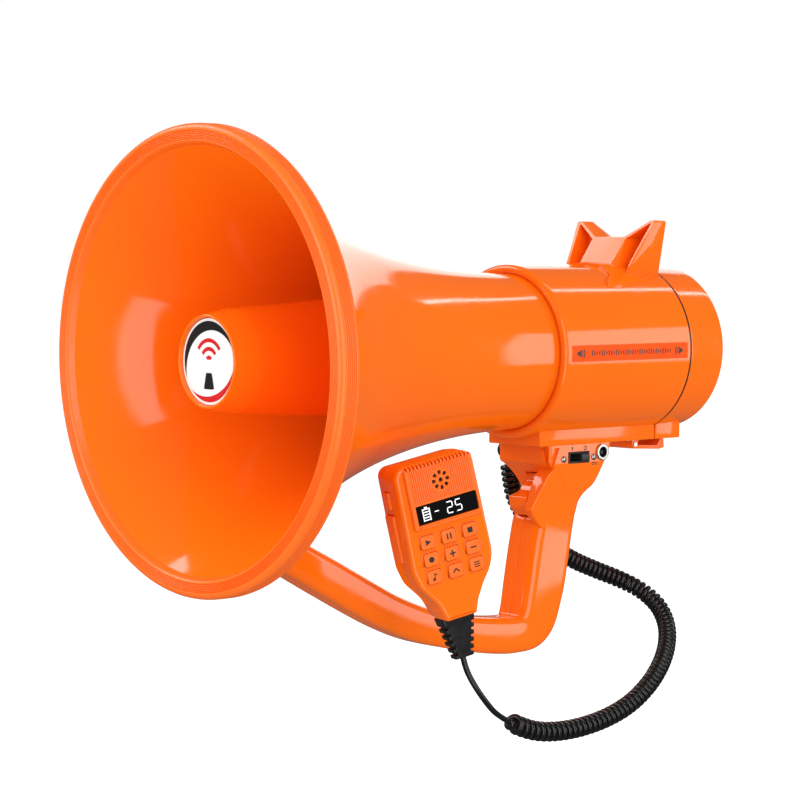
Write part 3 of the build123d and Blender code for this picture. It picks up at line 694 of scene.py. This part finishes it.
ears = edged("latch_ears", "latch_lugs", 0.4, gloss_orange)
finished(ears, "megaphone", "orange_gloss", "latch_ears")
lever = edged("cap_latch", "cap_lever", 0.4, soft_orange)
finished(lever, "latch", "orange_rim", "cap_latch")
dressed(bright_steel, "latch_pin")


# ---- strap cradle on top ----
# Two upright forked plates with a valley between them, moulded in the same glossy orange and
# screwed to the barrel. The strap is wound in the valley.


def across(outline, x0, x1):
    """An outline in (y, z) pulled out along the horn between two stations."""
    return lofted([[in_horn(x, p[0], p[1]) for p in outline] for x in (x0, x1)])


def slab(outline, y0, y1):
    """An outline in (x, z) pulled out sideways between two levels."""
    return lofted([[in_horn(p[0], y, p[1]) for p in outline] for y in (y0, y1)])


under_r, foot_r, above_all = barrel_r + 0.04, barrel_r + 1.2, 90
space_front, space_rear = 200, 340
barrel_space = lathed([(space_front, 0), (space_front, under_r), (space_rear, under_r),
                       (space_rear, 0)], 200)
beyond_foot = lathed([(space_front, foot_r), (space_front, above_all), (space_rear, above_all),
                      (space_rear, foot_r)], 200)
ears_outline = rounded(
    [(-30, 71), (-26.5, 71), (-11, 62), (11, 62), (26.5, 71), (30, 71), (23.5, 38), (-23.5, 38)],
    [2.2, 1.2, 3, 3, 1.2, 2.2, 1, 1],
)
cradle_front, cradle_rear, pocket_front, pocket_rear = 279, 304, 275, 300
cradle = new_piece("strap_cradle", *across(ears_outline, cradle_front, cradle_rear), gloss_orange)
ahead_of_ears = slab([(270, 80), (297, 80), (295.5, 71), (281, 46), (279, 30), (270, 30)], -40, 40)
pocket_outline = [(12.8, 61), (26.3, 69.2), (27.4, 69.2), (21.4, 38), (16.6, 38)]
pockets = [across([(way * y, z) for y, z in pocket_outline], pocket_front, pocket_rear)
           for way in (1, -1)]
cut(cradle, ahead_of_ears, *pockets, barrel_space)
finished(softened(cradle, 0.55, 3, 30), "megaphone", "orange_gloss", "top_cradle")
foot_outline = rounded(
    [(255, 31.5), (266, 24), (270, 10), (270, -10), (266, -24), (255, -31.5), (266, -32.5), (280, -30),
     (303, -23), (303, 23), (280, 30), (266, 32.5)],
    [1, 8, 10, 10, 8, 1, 5, 10, 2, 2, 10, 5],
)
foot_block = lofted([[in_horn(p.x, p.y, z) for p in foot_outline] for z in (20, 60)])
foot = new_piece("cradle_foot", *foot_block, gloss_orange)
cut(foot, beyond_foot, barrel_space)
finished(foot, "megaphone", "orange_gloss")


# ---- pistol grip handle and forward bow ----
# Two hollow orange shells meet on the middle plane. They run from the block under the rail down
# the grip, round the heel and forward to the bell, and screws close them from the far side.
handle_sections = [
    ((224.3, -50.5), (272.3, -50.5), 20, 2), ((224.3, -55.8), (270, -55.8), 20, 2),
    ((224.4, -60), (267.7, -60.2), 20, 2), ((227.5, -62.4), (265.8, -64.4), 19.6, 2.5),
    ((232.3, -67), (263.8, -69.2), 18.8, 3), ((235.5, -72.5), (261.8, -73.6), 17.6, 4),
    ((236.2, -76.5), (257.6, -77.6), 16.2, 5), ((234, -81), (254.9, -82), 14.8, 5.5),
    ((229.5, -85.5), (254.4, -87), 13.6, 6), ((225.2, -91), (253.6, -93), 12.7, 6.5),
    ((222.6, -100), (252.2, -101), 12.25, 7), ((220, -112), (249.9, -113.5), 12.25, 7),
    ((217.4, -126), (246.9, -128.5), 12.25, 7), ((215.3, -137.5), (243.8, -139), 12, 7),
    ((214.2, -141), (241.3, -146.5), 11.8, 6.5), ((213.6, -142.3), (237.6, -153.2), 11.5, 6),
    ((212.8, -142.8), (231.5, -158.8), 11.3, 5.5), ((211.5, -142.9), (223.5, -161.8), 11.1, 5),
    ((209, -142.9), (212.5, -162.5), 11, 5), ((203, -142.6), (203.5, -162.2), 11, 5),
    ((190, -141.2), (188.5, -160.3), 11, 5), ((174.6, -139), (170.5, -156.8), 11, 5),
    ((158, -135.2), (152.3, -152.6), 11, 5), ((142.8, -130.2), (135.5, -147.6), 11, 5),
    ((125.5, -123), (116.5, -139.6), 11, 5), ((105.2, -112.4), (96.5, -129.4), 11, 5),
    ((85.4, -101.8), (77, -118.9), 11, 5), ((64, -90.6), (55.5, -107.2), 11, 5),
    ((47.2, -79.2), (24.8, -91.8), 11, 5),
]
half_gap = 0.08


def between_four(before, start, end, after, t):
    """A smooth blend from start to end that also heeds the neighbours on each side."""
    return [
        (2 * b + (c - a) * t + (2 * a - 5 * b + 4 * c - d) * t * t + (3 * b - a - 3 * c + d) * t ** 3) / 2
        for a, b, c, d in zip(before, start, end, after)
    ]


def handle_half(sign):
    """One shell of the handle, on the side that sign gives."""
    flat = [[*inner, *outer, half, corner] for inner, outer, half, corner in handle_sections]
    smooth = []
    for i in range(len(flat) - 1):
        around = (flat[max(i - 1, 0)], flat[i], flat[i + 1], flat[min(i + 2, len(flat) - 1)])
        smooth += [between_four(*around, k / 4) for k in range(4)]
    rings = []
    for x0, z0, x1, z1, half, corner in smooth + [flat[-1]]:
        deep = hypot(x1 - x0, z1 - z0)
        outline = rounded([(0, half_gap), (0, half), (deep, half), (deep, half_gap)],
                          [0.3, corner, corner, 0.3], steps=8)
        rings.append([
            in_horn(x0 + (x1 - x0) * p.x / deep, sign * p.y, z0 + (z1 - z0) * p.x / deep) for p in outline
        ])
    return lofted(rings)


def disc(centre, r, count=40):
    return [(centre[0] + r * cos(2 * pi * k / count), centre[1] + r * sin(2 * pi * k / count))
            for k in range(count)]


block_screw = (252.5, -67.5)
bore_r, bore_floor = 3.1, 9.6
handle_screws = [block_screw, (238.0, -96.0), (228.0, -132.0), (180.0, -149.4), (104.0, -120.8)]
trigger_gap = (-8.0, 6.5)
trigger_slot = slab([(206, -66), (243.5, -66), (243.5, -90), (206, -90)], *trigger_gap)
switch_site, jack_site, beyond_block = (246.4, -57.6), (264.2, -55.6), -21
switch_pocket = slab(oblong(switch_site, 16.2, 6.4, 0.6), beyond_block, -11)
jack_pocket = slab(disc(jack_site, 4.1), beyond_block, -9)
side_notch = slab([(225.9, -51.8), (231.8, -51.8), (226.5, -63.5)], beyond_block, -18.3)
front_notch = lofted([[in_horn(x, y, z) for y, z in ((-18.9, -51.8), (-13.0, -51.8), (-18.4, -63.5))]
                      for x in (223, 226.2)])
left = new_piece("handle_left", *handle_half(-1), gloss_orange)
cut(left, trigger_slot, switch_pocket, jack_pocket, side_notch, front_notch)
finished(left, "megaphone", "orange_gloss", "handle_left_shell")
right = new_piece("handle_right", *handle_half(1), gloss_orange)
cut(right, trigger_slot, joined(*[slab(disc(site, bore_r), bore_floor, 25) for site in handle_screws]))
finished(right, "megaphone", "orange_gloss", "handle_right_shell")

guard_levels = [
    (-60.5, 231.0, 19.9), (-64, 227.6, 19.2), (-67, 224.4, 18.5), (-72, 222.0, 17.4), (-76.5, 220.1, 16.0),
    (-81, 218.2, 14.65), (-85, 216.6, 13.55), (-88.5, 219.2, 12.95), (-92, 222.4, 12.5),
    (-95.5, 226.0, 12.3),
]
guard_rings = []
for z, front_x, out_y in guard_levels:
    outline = rounded([(front_x, -8.2), (243, -8.2), (243, -out_y), (front_x, -out_y)], [0.5, 0.5, 0.5, 1.4])
    guard_rings.append([in_horn(p.x, p.y, z) for p in outline])
guard = new_piece("finger_guard", *lofted(guard_rings), gloss_orange)
finished(guard, "megaphone", "orange_gloss")


def stamped(name, stamp, seats, material):
    """Copies of a small shape on seats (place, turn, size), made by one Geometry Nodes tree."""
    data = bpy.data.meshes.new(name)
    data.from_pydata([seat[0] for seat in seats], [], [])
    for key, column in (("turn", 1), ("size", 2)):
        values = data.attributes.new(key, "FLOAT_VECTOR", "POINT")
        values.data.foreach_set("vector", [n for seat in seats for n in seat[column]])
    piece = bpy.data.objects.new(name, data)
    scene.collection.objects.link(piece)
    tree = bpy.data.node_groups.new(name, "GeometryNodeTree")
    tree.interface.new_socket("Geometry", in_out="INPUT", socket_type="NodeSocketGeometry")
    tree.interface.new_socket("Geometry", in_out="OUTPUT", socket_type="NodeSocketGeometry")
    shape_in = tree.interface.new_socket("Shape", in_out="INPUT", socket_type="NodeSocketObject")
    finish_in = tree.interface.new_socket("Finish", in_out="INPUT", socket_type="NodeSocketMaterial")
    seats_in = tree.nodes.new("NodeGroupInput")
    result = tree.nodes.new("NodeGroupOutput")
    shape = tree.nodes.new("GeometryNodeObjectInfo")
    place = tree.nodes.new("GeometryNodeInstanceOnPoints")
    turn = tree.nodes.new("GeometryNodeInputNamedAttribute")
    size_of = tree.nodes.new("GeometryNodeInputNamedAttribute")
    for node, key in ((turn, "turn"), (size_of, "size")):
        node.data_type = "FLOAT_VECTOR"
        node.inputs["Name"].default_value = key
    spin = tree.nodes.new("FunctionNodeEulerToRotation")
    whole = tree.nodes.new("GeometryNodeRealizeInstances")
    paint = tree.nodes.new("GeometryNodeSetMaterial")
    tree.links.new(seats_in.outputs["Shape"], shape.inputs["Object"])
    tree.links.new(seats_in.outputs["Geometry"], place.inputs["Points"])
    tree.links.new(shape.outputs["Geometry"], place.inputs["Instance"])
    tree.links.new(turn.outputs["Attribute"], spin.inputs["Euler"])
    tree.links.new(spin.outputs["Rotation"], place.inputs["Rotation"])
    tree.links.new(size_of.outputs["Attribute"], place.inputs["Scale"])
    tree.links.new(place.outputs["Instances"], whole.inputs["Geometry"])
    tree.links.new(whole.outputs["Geometry"], paint.inputs["Geometry"])
    tree.links.new(seats_in.outputs["Finish"], paint.inputs["Material"])
    tree.links.new(paint.outputs["Geometry"], result.inputs["Geometry"])
    repeat = piece.modifiers.new("repeat", "NODES")
    repeat.node_group = tree
    repeat[shape_in.identifier] = stamp
    repeat[finish_in.identifier] = material
    modified(piece)
    bpy.data.objects.remove(stamp)
    return piece


def screw_head(name, r, tall, recess):
    """A domed screw head with a cross recess, standing on its own plane."""
    rings = []
    for out, up in ((1.0, 0.0), (1.0, 0.35), (0.93, 0.6), (0.75, 0.82), (0.45, 0.95), (0.12, 1.0)):
        rings.append([Vector((a, b, tall * up)) * MM for a, b in disc((0, 0), r * out, 32)])
    head = new_piece(name, *lofted(rings), zinc_steel)
    arm, slit = r * 0.62, r * 0.13
    cross = []
    for a, b in ((arm, slit), (slit, arm)):
        cross.append(lofted([[Vector((u, v, w)) * MM for u, v in ((-a, -b), (a, -b), (a, b), (-a, b))]
                             for w in (tall - recess, tall + 1)]))
    return cut(head, *cross)


far_side = radians(-90)
near_side = (radians(90), 0, 0)
downwards = (radians(180), 0, 0)
rail_screws, rail_screw_z, rail_screw_size = [(232, 12), (232, -12)], -53.1, 0.9
screw_r, screw_tall, screw_recess = 2.9, 1.9, 1.1
seats = [(in_horn(x, bore_floor + 0.1, z), (far_side, 0, 0.4 * i), (1, 1, 1))
         for i, (x, z) in enumerate(handle_screws)]
seats += [(in_horn(x, y, rail_screw_z), downwards, (rail_screw_size,) * 3) for x, y in rail_screws]
head = screw_head("screw", screw_r, screw_tall, screw_recess)
screws = stamped("handle_screw_heads", head, seats, zinc_steel)
finished(screws, "megaphone", "zinc_steel", "handle_screws")


# ---- trigger and its microswitch ----
# A hooked orange slider in a slot at the front of the grip, pushed out by a spring. It presses a
# small snap switch that is held between the shells.
trigger_outline = rounded(
    [(233.4, -66.8), (231.6, -71.5), (228.4, -73.4), (226.6, -76.2), (218.6, -78.6), (219.2, -84.6),
     (223.6, -89.2), (240, -89.2), (240, -66.8)],
    [0.6, 2.5, 1.5, 2.5, 0.9, 4, 3, 0.3, 0.3],
)
trigger = new_piece("talk_trigger", *slab(trigger_outline, 5.8, -7.3), gloss_orange)
softened(trigger, 0.9, 4, 50)
finished(trigger, "trigger", "orange_gloss", "trigger")
dressed(black_moulding, "trigger_microswitch")


# ---- power switch and charging jack ----
# A black slide switch sits in a window of the block between two small bright screws. The charging
# jack beside it has a bright ring, and both are marked with printed symbols.
finished(edged("switch_frame", "switch_surround", 0.25, black_moulding), "megaphone", "black_plastic",
         "switch_frame")
finished(edged("switch_knob", "switch_slider", 0.25, black_moulding), "power_knob", "black_plastic",
         "switch_knob")
finished(edged("dc_jack_bezel", "jack_ring", 0.35, bright_steel, segments=4), "megaphone", "bright_steel",
         "dc_jack_bezel")
dressed(black_moulding, "dc_jack_socket")
switch_screw_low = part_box("switch_screws")[0]
switch_screw_sites, switch_screw_sunk, switch_screw_size = ((234.9, -58.2), (257.9, -58.0)), 0.9, 0.62
seats = [(in_horn(x, switch_screw_low.y / MM + switch_screw_sunk, z), near_side, (switch_screw_size,) * 3)
         for x, z in switch_screw_sites]
screws = stamped("switch_screw_heads", screw_head("screw", screw_r, 1.5, 0.9), seats, bright_steel)
finished(screws, "megaphone", "bright_steel", "switch_screws")


def ring_mark(centre, r_out, r_in, y0, y1, count=32):
    """A flat printed ring on a side face."""
    rings = []
    for k in range(count + 1):
        t = 2 * pi * k / count
        ring = []
        for r, y in ((r_in, y0), (r_out, y0), (r_out, y1), (r_in, y1)):
            ring.append(in_horn(centre[0] + r * cos(t), y, centre[1] + r * sin(t)))
        rings.append(ring)
    return lofted(rings)


print_black = surface("print_black", (0.02, 0.02, 0.02), 0.45, drift=0.2, scuff=0.05)
block_side = (-19.5, -20.05)
on_sign, off_sign, jack_sign_x = (241.4, -52.8), (251.4, -52.8), 258.6
marks = joined(
    slab(oblong(on_sign, 0.7, 2.2, 0.1), *block_side),
    ring_mark(off_sign, 1.25, 0.75, *block_side),
    slab(oblong((jack_sign_x, -61.0), 4.2, 0.45, 0.1), *block_side),
    *[slab(oblong((jack_sign_x + off, -62.0), 0.9, 0.45, 0.1), *block_side) for off in (-1.6, 0, 1.6)],
)
finished(new_piece("block_marks", *marks, print_black), "megaphone", "label_print")


# ---- rating strip on the barrel ----
# A thin printed strip lies along the barrel's side, in a duller orange. Its wording is replaced by
# plain symbols: a loudspeaker with waves at each end and a level scale between them.
dull_orange = surface("dull_orange", (0.9, 0.085, 0.003), 0.6, drift=0.05, scuff=0.06)
dull_orange.node_tree.nodes["Principled BSDF"].inputs["Specular IOR Level"].default_value = 0.15
dressed(dull_orange, "side_label")
label_r = (barrel_r + 0.29, barrel_r + 0.36)


def on_barrel(outline):
    """A flat outline (x, up) wrapped on the strip."""
    rings = []
    for r in label_r:
        rings.append([in_horn(p[0], -r * cos(p[1] / r), r * sin(p[1] / r)) for p in outline])
    return lofted(rings)


scale_start, scale_step, scale_count, stroke = 229, 1.82, 34, 0.75
scale_marks = []
for k in range(scale_count):
    tall = 1.6 + 1.3 * (0.5 + 0.5 * sin(k * 1.9)) + 0.8 * (k % 5 == 0)
    scale_marks.append(on_barrel(oblong((scale_start + scale_step * k, 0), stroke, tall, 0.12, 2)))
speaker_shape = [(-1.6, -0.9), (-0.4, -0.9), (1.2, -2.2), (1.2, 2.2), (-0.4, 0.9), (-1.6, 0.9)]
wave_thick = 0.35
for centre, way in ((219.5, 1), (297.5, -1)):
    scale_marks.append(on_barrel([(centre + a * way, b) for a, b in speaker_shape]))
    for r in (2.2, 3.8):
        arc = [(centre + way * (r + wave_thick) * cos(radians(a)), (r + wave_thick) * sin(radians(a)))
               for a in range(-36, 37, 9)]
        back = [(centre + way * (r - wave_thick) * cos(radians(a)), (r - wave_thick) * sin(radians(a)))
                for a in range(36, -37, -9)]
        scale_marks.append(on_barrel(arc + back))
finished(new_piece("strip_marks", *joined(*scale_marks), print_black), "megaphone", "label_print")


# ---- cord gland ----
# A black rubber elbow on the far side of the block, pushed into its wall, leads the cord in and
# keeps it from being bent sharply.
finished(edged("cord_gland", "cord_elbow", 0.5, black_rubber), "megaphone", "cord_black", "cord_gland")


# ---- speaker microphone: shells and grille ----
# Two orange shells screwed together from behind. The front has a raised panel with fine ribs round
# the voice openings, a window for the display and nine wells for the keys.
mic_turn, mic_lean = radians(16), radians(13)
mic_out = Vector((-sin(mic_turn), -cos(mic_turn), 0))
mic_right = Vector((cos(mic_turn) * cos(mic_lean), -sin(mic_turn) * cos(mic_lean), sin(mic_lean)))
mic_up = mic_out.cross(mic_right)
mic_middle = mouth + Vector((95.3, -81.3, -85.0)) * MM
mic_front_turn = tuple(Matrix((mic_right, mic_up, mic_out)).transposed().to_euler())
mic_back_turn = tuple(Matrix((mic_right, -mic_up, -mic_out)).transposed().to_euler())
seam_w = -11.5
key_sites = [(u, v) for v in (0.8, -7.9, -16.6) for u in (-11.6, 0.0, 11.6)]
key_size, well_size, ring_size, well_floor = (7.6, 6.8, 1.2), (8.0, 7.2, 1.3), (9.3, 8.5, 1.9), -5.2
rose, rose_r = (1.5, 28.8), 3.7
talk_slot, side_slot = ((-21.5, 4.0), 8, 24.4, 0.8), ((-21.2, 23.0), 8, 9.4, 0.8)
talk_room, side_room = ((-16.8, 4.0), 3.0, 26.6, 0.3), ((-16.8, 23.0), 3.0, 10.6, 0.3)
tooth_start, tooth_pitch, tooth_count = -15.4, 2.0, 18
hole_floor, above_face = -3, 3
lens_site, lens_wide, lens_tall = (1.7, 14.4), 34.2, 9.6
panel_site, panel_wide, panel_tall = (1.6, 22.8), 37.4, 31.2


def on_mic(u, v, w):
    """A place in the row's frame from millimetres across, up and out of the microphone's face."""
    return mic_middle + (mic_right * u + mic_up * v + mic_out * w) * MM


def drawn_in(outline, inset):
    """An outline moved inwards; it runs anticlockwise."""
    points = [Vector(p) for p in outline]
    out = []
    for i, p in enumerate(points):
        along = (points[(i + 1) % len(points)] - points[i - 1]).normalized()
        out.append(p + Vector((-along.y, along.x)) * inset)
    return out


def mic_slab(outline, *stack):
    """An outline stacked at levels (w, inset) over the microphone's face."""
    return lofted([[on_mic(p.x, p.y, w) for p in drawn_in(outline, inset)] for w, inset in stack])


def rounding(w, inset, r, way, steps=6):
    """Levels that round an edge over, going outwards (way 1) or backwards (way -1)."""
    out = []
    for i in range(steps + 1):
        t = radians(90 * i / steps)
        out.append((w + way * r * sin(t), inset + r * (1 - cos(t))))
    return out


mic_outline = rounded(
    [(7.2, -40.5), (9.6, -34.0), (14.0, -27.0), (19.4, -20.5), (22.2, -13.0), (21.6, 39.5),
     (-21.6, 39.5), (-22.3, -12.0), (-19.8, -21.0), (-12.4, -31.0), (-9.3, -40.5)],
    [1.2, 14, 20, 20, 16, 6, 6, 16, 14, 16, 1.2],
    steps=8,
)
rose_cuts = [mic_slab(disc(rose, 1.15, 24), (hole_floor, 0), (above_face, 0))]
for k in range(8):
    turn = 2 * pi * k / 8
    u, v = rose[0] + rose_r * cos(turn), rose[1] + rose_r * sin(turn)
    hole = [(u + a * cos(turn) - b * sin(turn), v + a * sin(turn) + b * cos(turn))
            for a, b in ((-1.0, -0.75), (1.0, -1.0), (1.0, 1.0), (-1.0, 0.75))]
    rose_cuts.append(mic_slab(rounded(hole, 0.3, 3), (hole_floor, 0), (above_face, 0)))
window_cut = mic_slab(oblong(lens_site, lens_wide, lens_tall, 0.9), (-0.6, 0), (above_face, 0))
side_cuts = [mic_slab(oblong(*talk_slot), (-17.2, 0), (-7.8, 0)),
             mic_slab(oblong(*side_slot), (-15.8, 0), (-9.2, 0))]
side_rooms = [mic_slab(oblong(*talk_room), (-17.9, 0), (-7.1, 0)),
              mic_slab(oblong(*side_room), (-17.1, 0), (-7.9, 0))]
key_cuts = [mic_slab(oblong(site, *well_size), (well_floor, 0), (above_face, 0)) for site in key_sites]
tooth_cuts = [mic_slab(oblong((tooth_start + tooth_pitch * k, 39.4), 0.95, 5.0, 0.25, 3), (-1.3, 0),
                       (above_face, 0)) for k in range(tooth_count)]
front = new_piece("mic_front", *mic_slab(mic_outline, (seam_w + half_gap, 0.35), (seam_w + 0.4, 0),
                                         *rounding(-1.8, 0.15, 1.8, 1)), gloss_orange)
cut(front, joined(window_cut, *rose_cuts, *key_cuts, *tooth_cuts), joined(*side_cuts),
    joined(*side_rooms))
finished(front, "microphone", "orange_gloss", "mic_front_shell")
panel = new_piece("mic_panel", *mic_slab(oblong(panel_site, panel_wide, panel_tall, 2.2),
                                         (-0.5, 0), (0.7, 0), (1.15, 0.15), (1.35, 0.5)), soft_orange)
cut(panel, joined(window_cut, *rose_cuts, *tooth_cuts))
finished(panel, "microphone", "orange_gloss")
border_w = ((1.2, 0), (1.7, 0.05), (1.95, 0.4))
borders = joined(mic_slab(oblong((-15.9, 22.4), 2.4, 29.4, 1.0), *border_w),
                 mic_slab(oblong((2.6, 8.2), 34.0, 1.3, 0.6), *border_w))
finished(new_piece("panel_borders", *borders, soft_orange), "microphone", "orange_gloss")
back = new_piece("mic_back", *mic_slab(mic_outline, (seam_w - half_gap, 0.35), (seam_w - 0.4, 0),
                                       *rounding(-20.8, 0.9, 3.2, -1)), gloss_orange)
cut(back, joined(*side_cuts), joined(*side_rooms))
finished(back, "microphone", "orange_gloss", "mic_back_shell")
dressed(black_moulding, "mic_capsule")
cloth = new_piece("voice_cloth", *mic_slab(disc(rose, 5.2), (-0.9, 0), (-0.4, 0)), black_rubber)
finished(cloth, "microphone", "black_rubber")

ring_section = [(0, -0.3), (0, 0.28), (0.3, 0.42), (0.7, 0.42), (1, 0.2), (1, -0.3)]
rims = []
for site in key_sites:
    rings = []
    for near, far in zip(oblong(site, *well_size), oblong(site, *ring_size)):
        rings.append([on_mic(*near.lerp(far, across_ring), w) for across_ring, w in ring_section])
    rims.append(lofted(rings + rings[:1]))
finished(new_piece("key_rims", *joined(*rims), soft_orange, sharp=60), "microphone", "orange_gloss")

rib_section = [(-0.34, -0.1), (-0.31, 0.24), (-0.17, 0.44), (0, 0.5), (0.17, 0.44), (0.31, 0.24),
               (0.34, -0.1)]
rib_shape = lofted([[Vector((a, b, c)) * MM for a, c in rib_section] for b in (-0.5, 0.5)])
rib_stamp = new_piece("rib", *rib_shape, soft_orange)
rib_seats = []
rib_start, rib_pitch, rib_count, clear_r = -13.6, 1.12, 29, 5.9
ribs_low, ribs_high, ribs_w = 20.3, 36.7, 1.33
for k in range(rib_count):
    u = rib_start + rib_pitch * k
    off = abs(u - rose[0])
    spans = [(ribs_low, ribs_high)]
    if off < clear_r:
        reach = (clear_r ** 2 - off ** 2) ** 0.5
        spans = [(ribs_low, rose[1] - reach), (rose[1] + reach, ribs_high)]
    for start, end in spans:
        rib_seats.append((on_mic(u, (start + end) / 2, ribs_w), mic_front_turn, (1, end - start, 1)))
ribs = stamped("mic_ribs", rib_stamp, rib_seats, soft_orange)
finished(ribs, "microphone", "orange_gloss")
back_screws, back_screw_w, back_screw_size = [(-14, 32), (14, 32), (0, -26)], -23.9, (0.8, 0.8, 0.5)
seats = [(on_mic(u, v, back_screw_w), mic_back_turn, back_screw_size) for u, v in back_screws]
head = screw_head("screw", screw_r, screw_tall, screw_recess)
screws = stamped("mic_screw_heads", head, seats, zinc_steel)
finished(screws, "microphone", "zinc_steel", "mic_screws")


# ---- speaker microphone: display and keys ----
# A glossy black window over the display shows white signs. Each key is a small cap in its own well
# with a printed sign, and the talk bar and a button stand out of the left edge.
window_black = surface("window_black", (0.002, 0.002, 0.0025), 0.05, drift=0.2, scuff=0.03, scuff_size=60)
lens = new_piece("display_glass", *mic_slab(oblong(lens_site, lens_wide - 0.3, lens_tall - 0.3, 0.8),
                                            (-0.55, 0), (0.5, 0), (0.7, 0.25)), window_black)
finished(lens, "microphone", "window", "display_window")
lit = surface("display_white", (0.9, 0.92, 0.95), 0.4, drift=0.02, scuff=0.02)
lit_look = lit.node_tree.nodes["Principled BSDF"].inputs
lit_look["Emission Color"].default_value = (0.9, 0.95, 1, 1)
lit_look["Emission Strength"].default_value = 0.55
glass_w = ((0.69, 0), (0.76, 0))
segments = {"top": ((0, 2.75), 2.6, 0.5), "middle": ((0, 0), 2.6, 0.5), "bottom": ((0, -2.75), 2.6, 0.5),
            "left_up": ((-1.5, 1.4), 0.5, 2.2), "right_up": ((1.5, 1.4), 0.5, 2.2),
            "left_down": ((-1.5, -1.4), 0.5, 2.2), "right_down": ((1.5, -1.4), 0.5, 2.2)}
shown = [(3.6, ("top", "middle", "bottom", "right_up", "left_down")),
         (8.4, ("top", "middle", "bottom", "left_up", "right_down"))]
signs = []
for u, names in shown:
    for key in names:
        (a, b), wide, tall = segments[key]
        signs.append(mic_slab(oblong((u + a, lens_site[1] + b), wide, tall, 0.15, 2), *glass_w))
signs.append(mic_slab(oblong((-3.6, lens_site[1]), 2.4, 0.5, 0.2, 2), *glass_w))
battery_u, battery_v = -9.2, lens_site[1] - 0.3
for b in (0.0, 1.35, -1.35, 2.7, -2.7):
    signs.append(mic_slab(oblong((battery_u, battery_v + b), 3.2, 0.5, 0.12, 2), *glass_w))
for a in (-1.85, 1.85):
    signs.append(mic_slab(oblong((battery_u + a, battery_v), 0.45, 6.2, 0.12, 2), *glass_w))
signs.append(mic_slab(oblong((battery_u, lens_site[1] + 3.2), 1.6, 0.7, 0.15, 2), *glass_w))
finished(new_piece("display_signs", *joined(*signs), lit), "microphone", "label_print")

key_levels = [(-3.9, 0), (0.35, 0), (0.65, 0.1), (0.84, 0.3), (0.9, 0.6)]
cap_w = ((0.86, 0), (0.95, 0))


def sign(site, *shapes):
    """Printed shapes on a key, each given as an outline round the key's middle."""
    return joined(*[mic_slab([(site[0] + p[0], site[1] + p[1]) for p in shape], *cap_w) for shape in shapes])


def bar(u, v, wide, tall):
    return oblong((u, v), wide, tall, 0.12, 2)


def shaft(a, b, wide):
    """A straight stroke between two points."""
    a, b = Vector(a), Vector(b)
    off = Vector((-(b - a).y, (b - a).x)).normalized() * wide / 2
    return [a - off, b - off, b + off, a + off]


key_signs = [
    [[(-1.3, -1.5), (1.6, 0), (-1.3, 1.5)]],
    [bar(-0.9, 0, 0.8, 3.0), bar(0.9, 0, 0.8, 3.0)],
    [bar(0, 0, 2.7, 2.7)],
    [disc((0, 0), 1.45, 24)],
    [bar(0, 0, 3.2, 0.75), bar(0, 1.05, 0.75, 1.3), bar(0, -1.05, 0.75, 1.3)],
    [bar(0, 0, 3.2, 0.75)],
    [disc((-0.7, -1.1), 0.75, 20), bar(-0.1, 0.3, 0.45, 2.9), shaft((-0.1, 1.6), (1.3, 0.9), 0.6)],
    [shaft((-1.7, -0.8), (0, 1.0), 0.7), shaft((0, 1.0), (1.7, -0.8), 0.7)],
    [bar(0, 1.1, 3.0, 0.55), bar(0, 0, 3.0, 0.55), bar(0, -1.1, 3.0, 0.55)],
]
for number, (site, shapes) in enumerate(zip(key_sites, key_signs), start=1):
    key_shape = mic_slab(oblong(site, *key_size), *key_levels)
    key = new_piece(f"keycap_{number}", *key_shape, soft_orange, sharp=50)
    finished(key, f"key_{number}", "orange_gloss", f"key_{number}")
    finished(new_piece(f"key_sign_{number}", *sign(site, *shapes), print_black), f"key_{number}",
             "label_print")
finished(edged("ptt_bar", "talk_bar", 0.8, soft_orange, segments=4), "talk_bar", "orange_rim", "ptt_bar")
finished(edged("side_button", "edge_button", 0.7, soft_orange, segments=4), "side_button", "orange_rim",
         "side_button")
boot = edged("mic_boot", "ribbed_boot", 0.45, black_rubber)
boot_mid, boot_thinned = on_mic(0, 0, seam_w), 0.28
for vertex in boot.data.vertices:
    vertex.co -= mic_out * ((vertex.co - boot_mid).dot(mic_out) * boot_thinned)
finished(boot, "microphone", "black_rubber", "mic_boot")
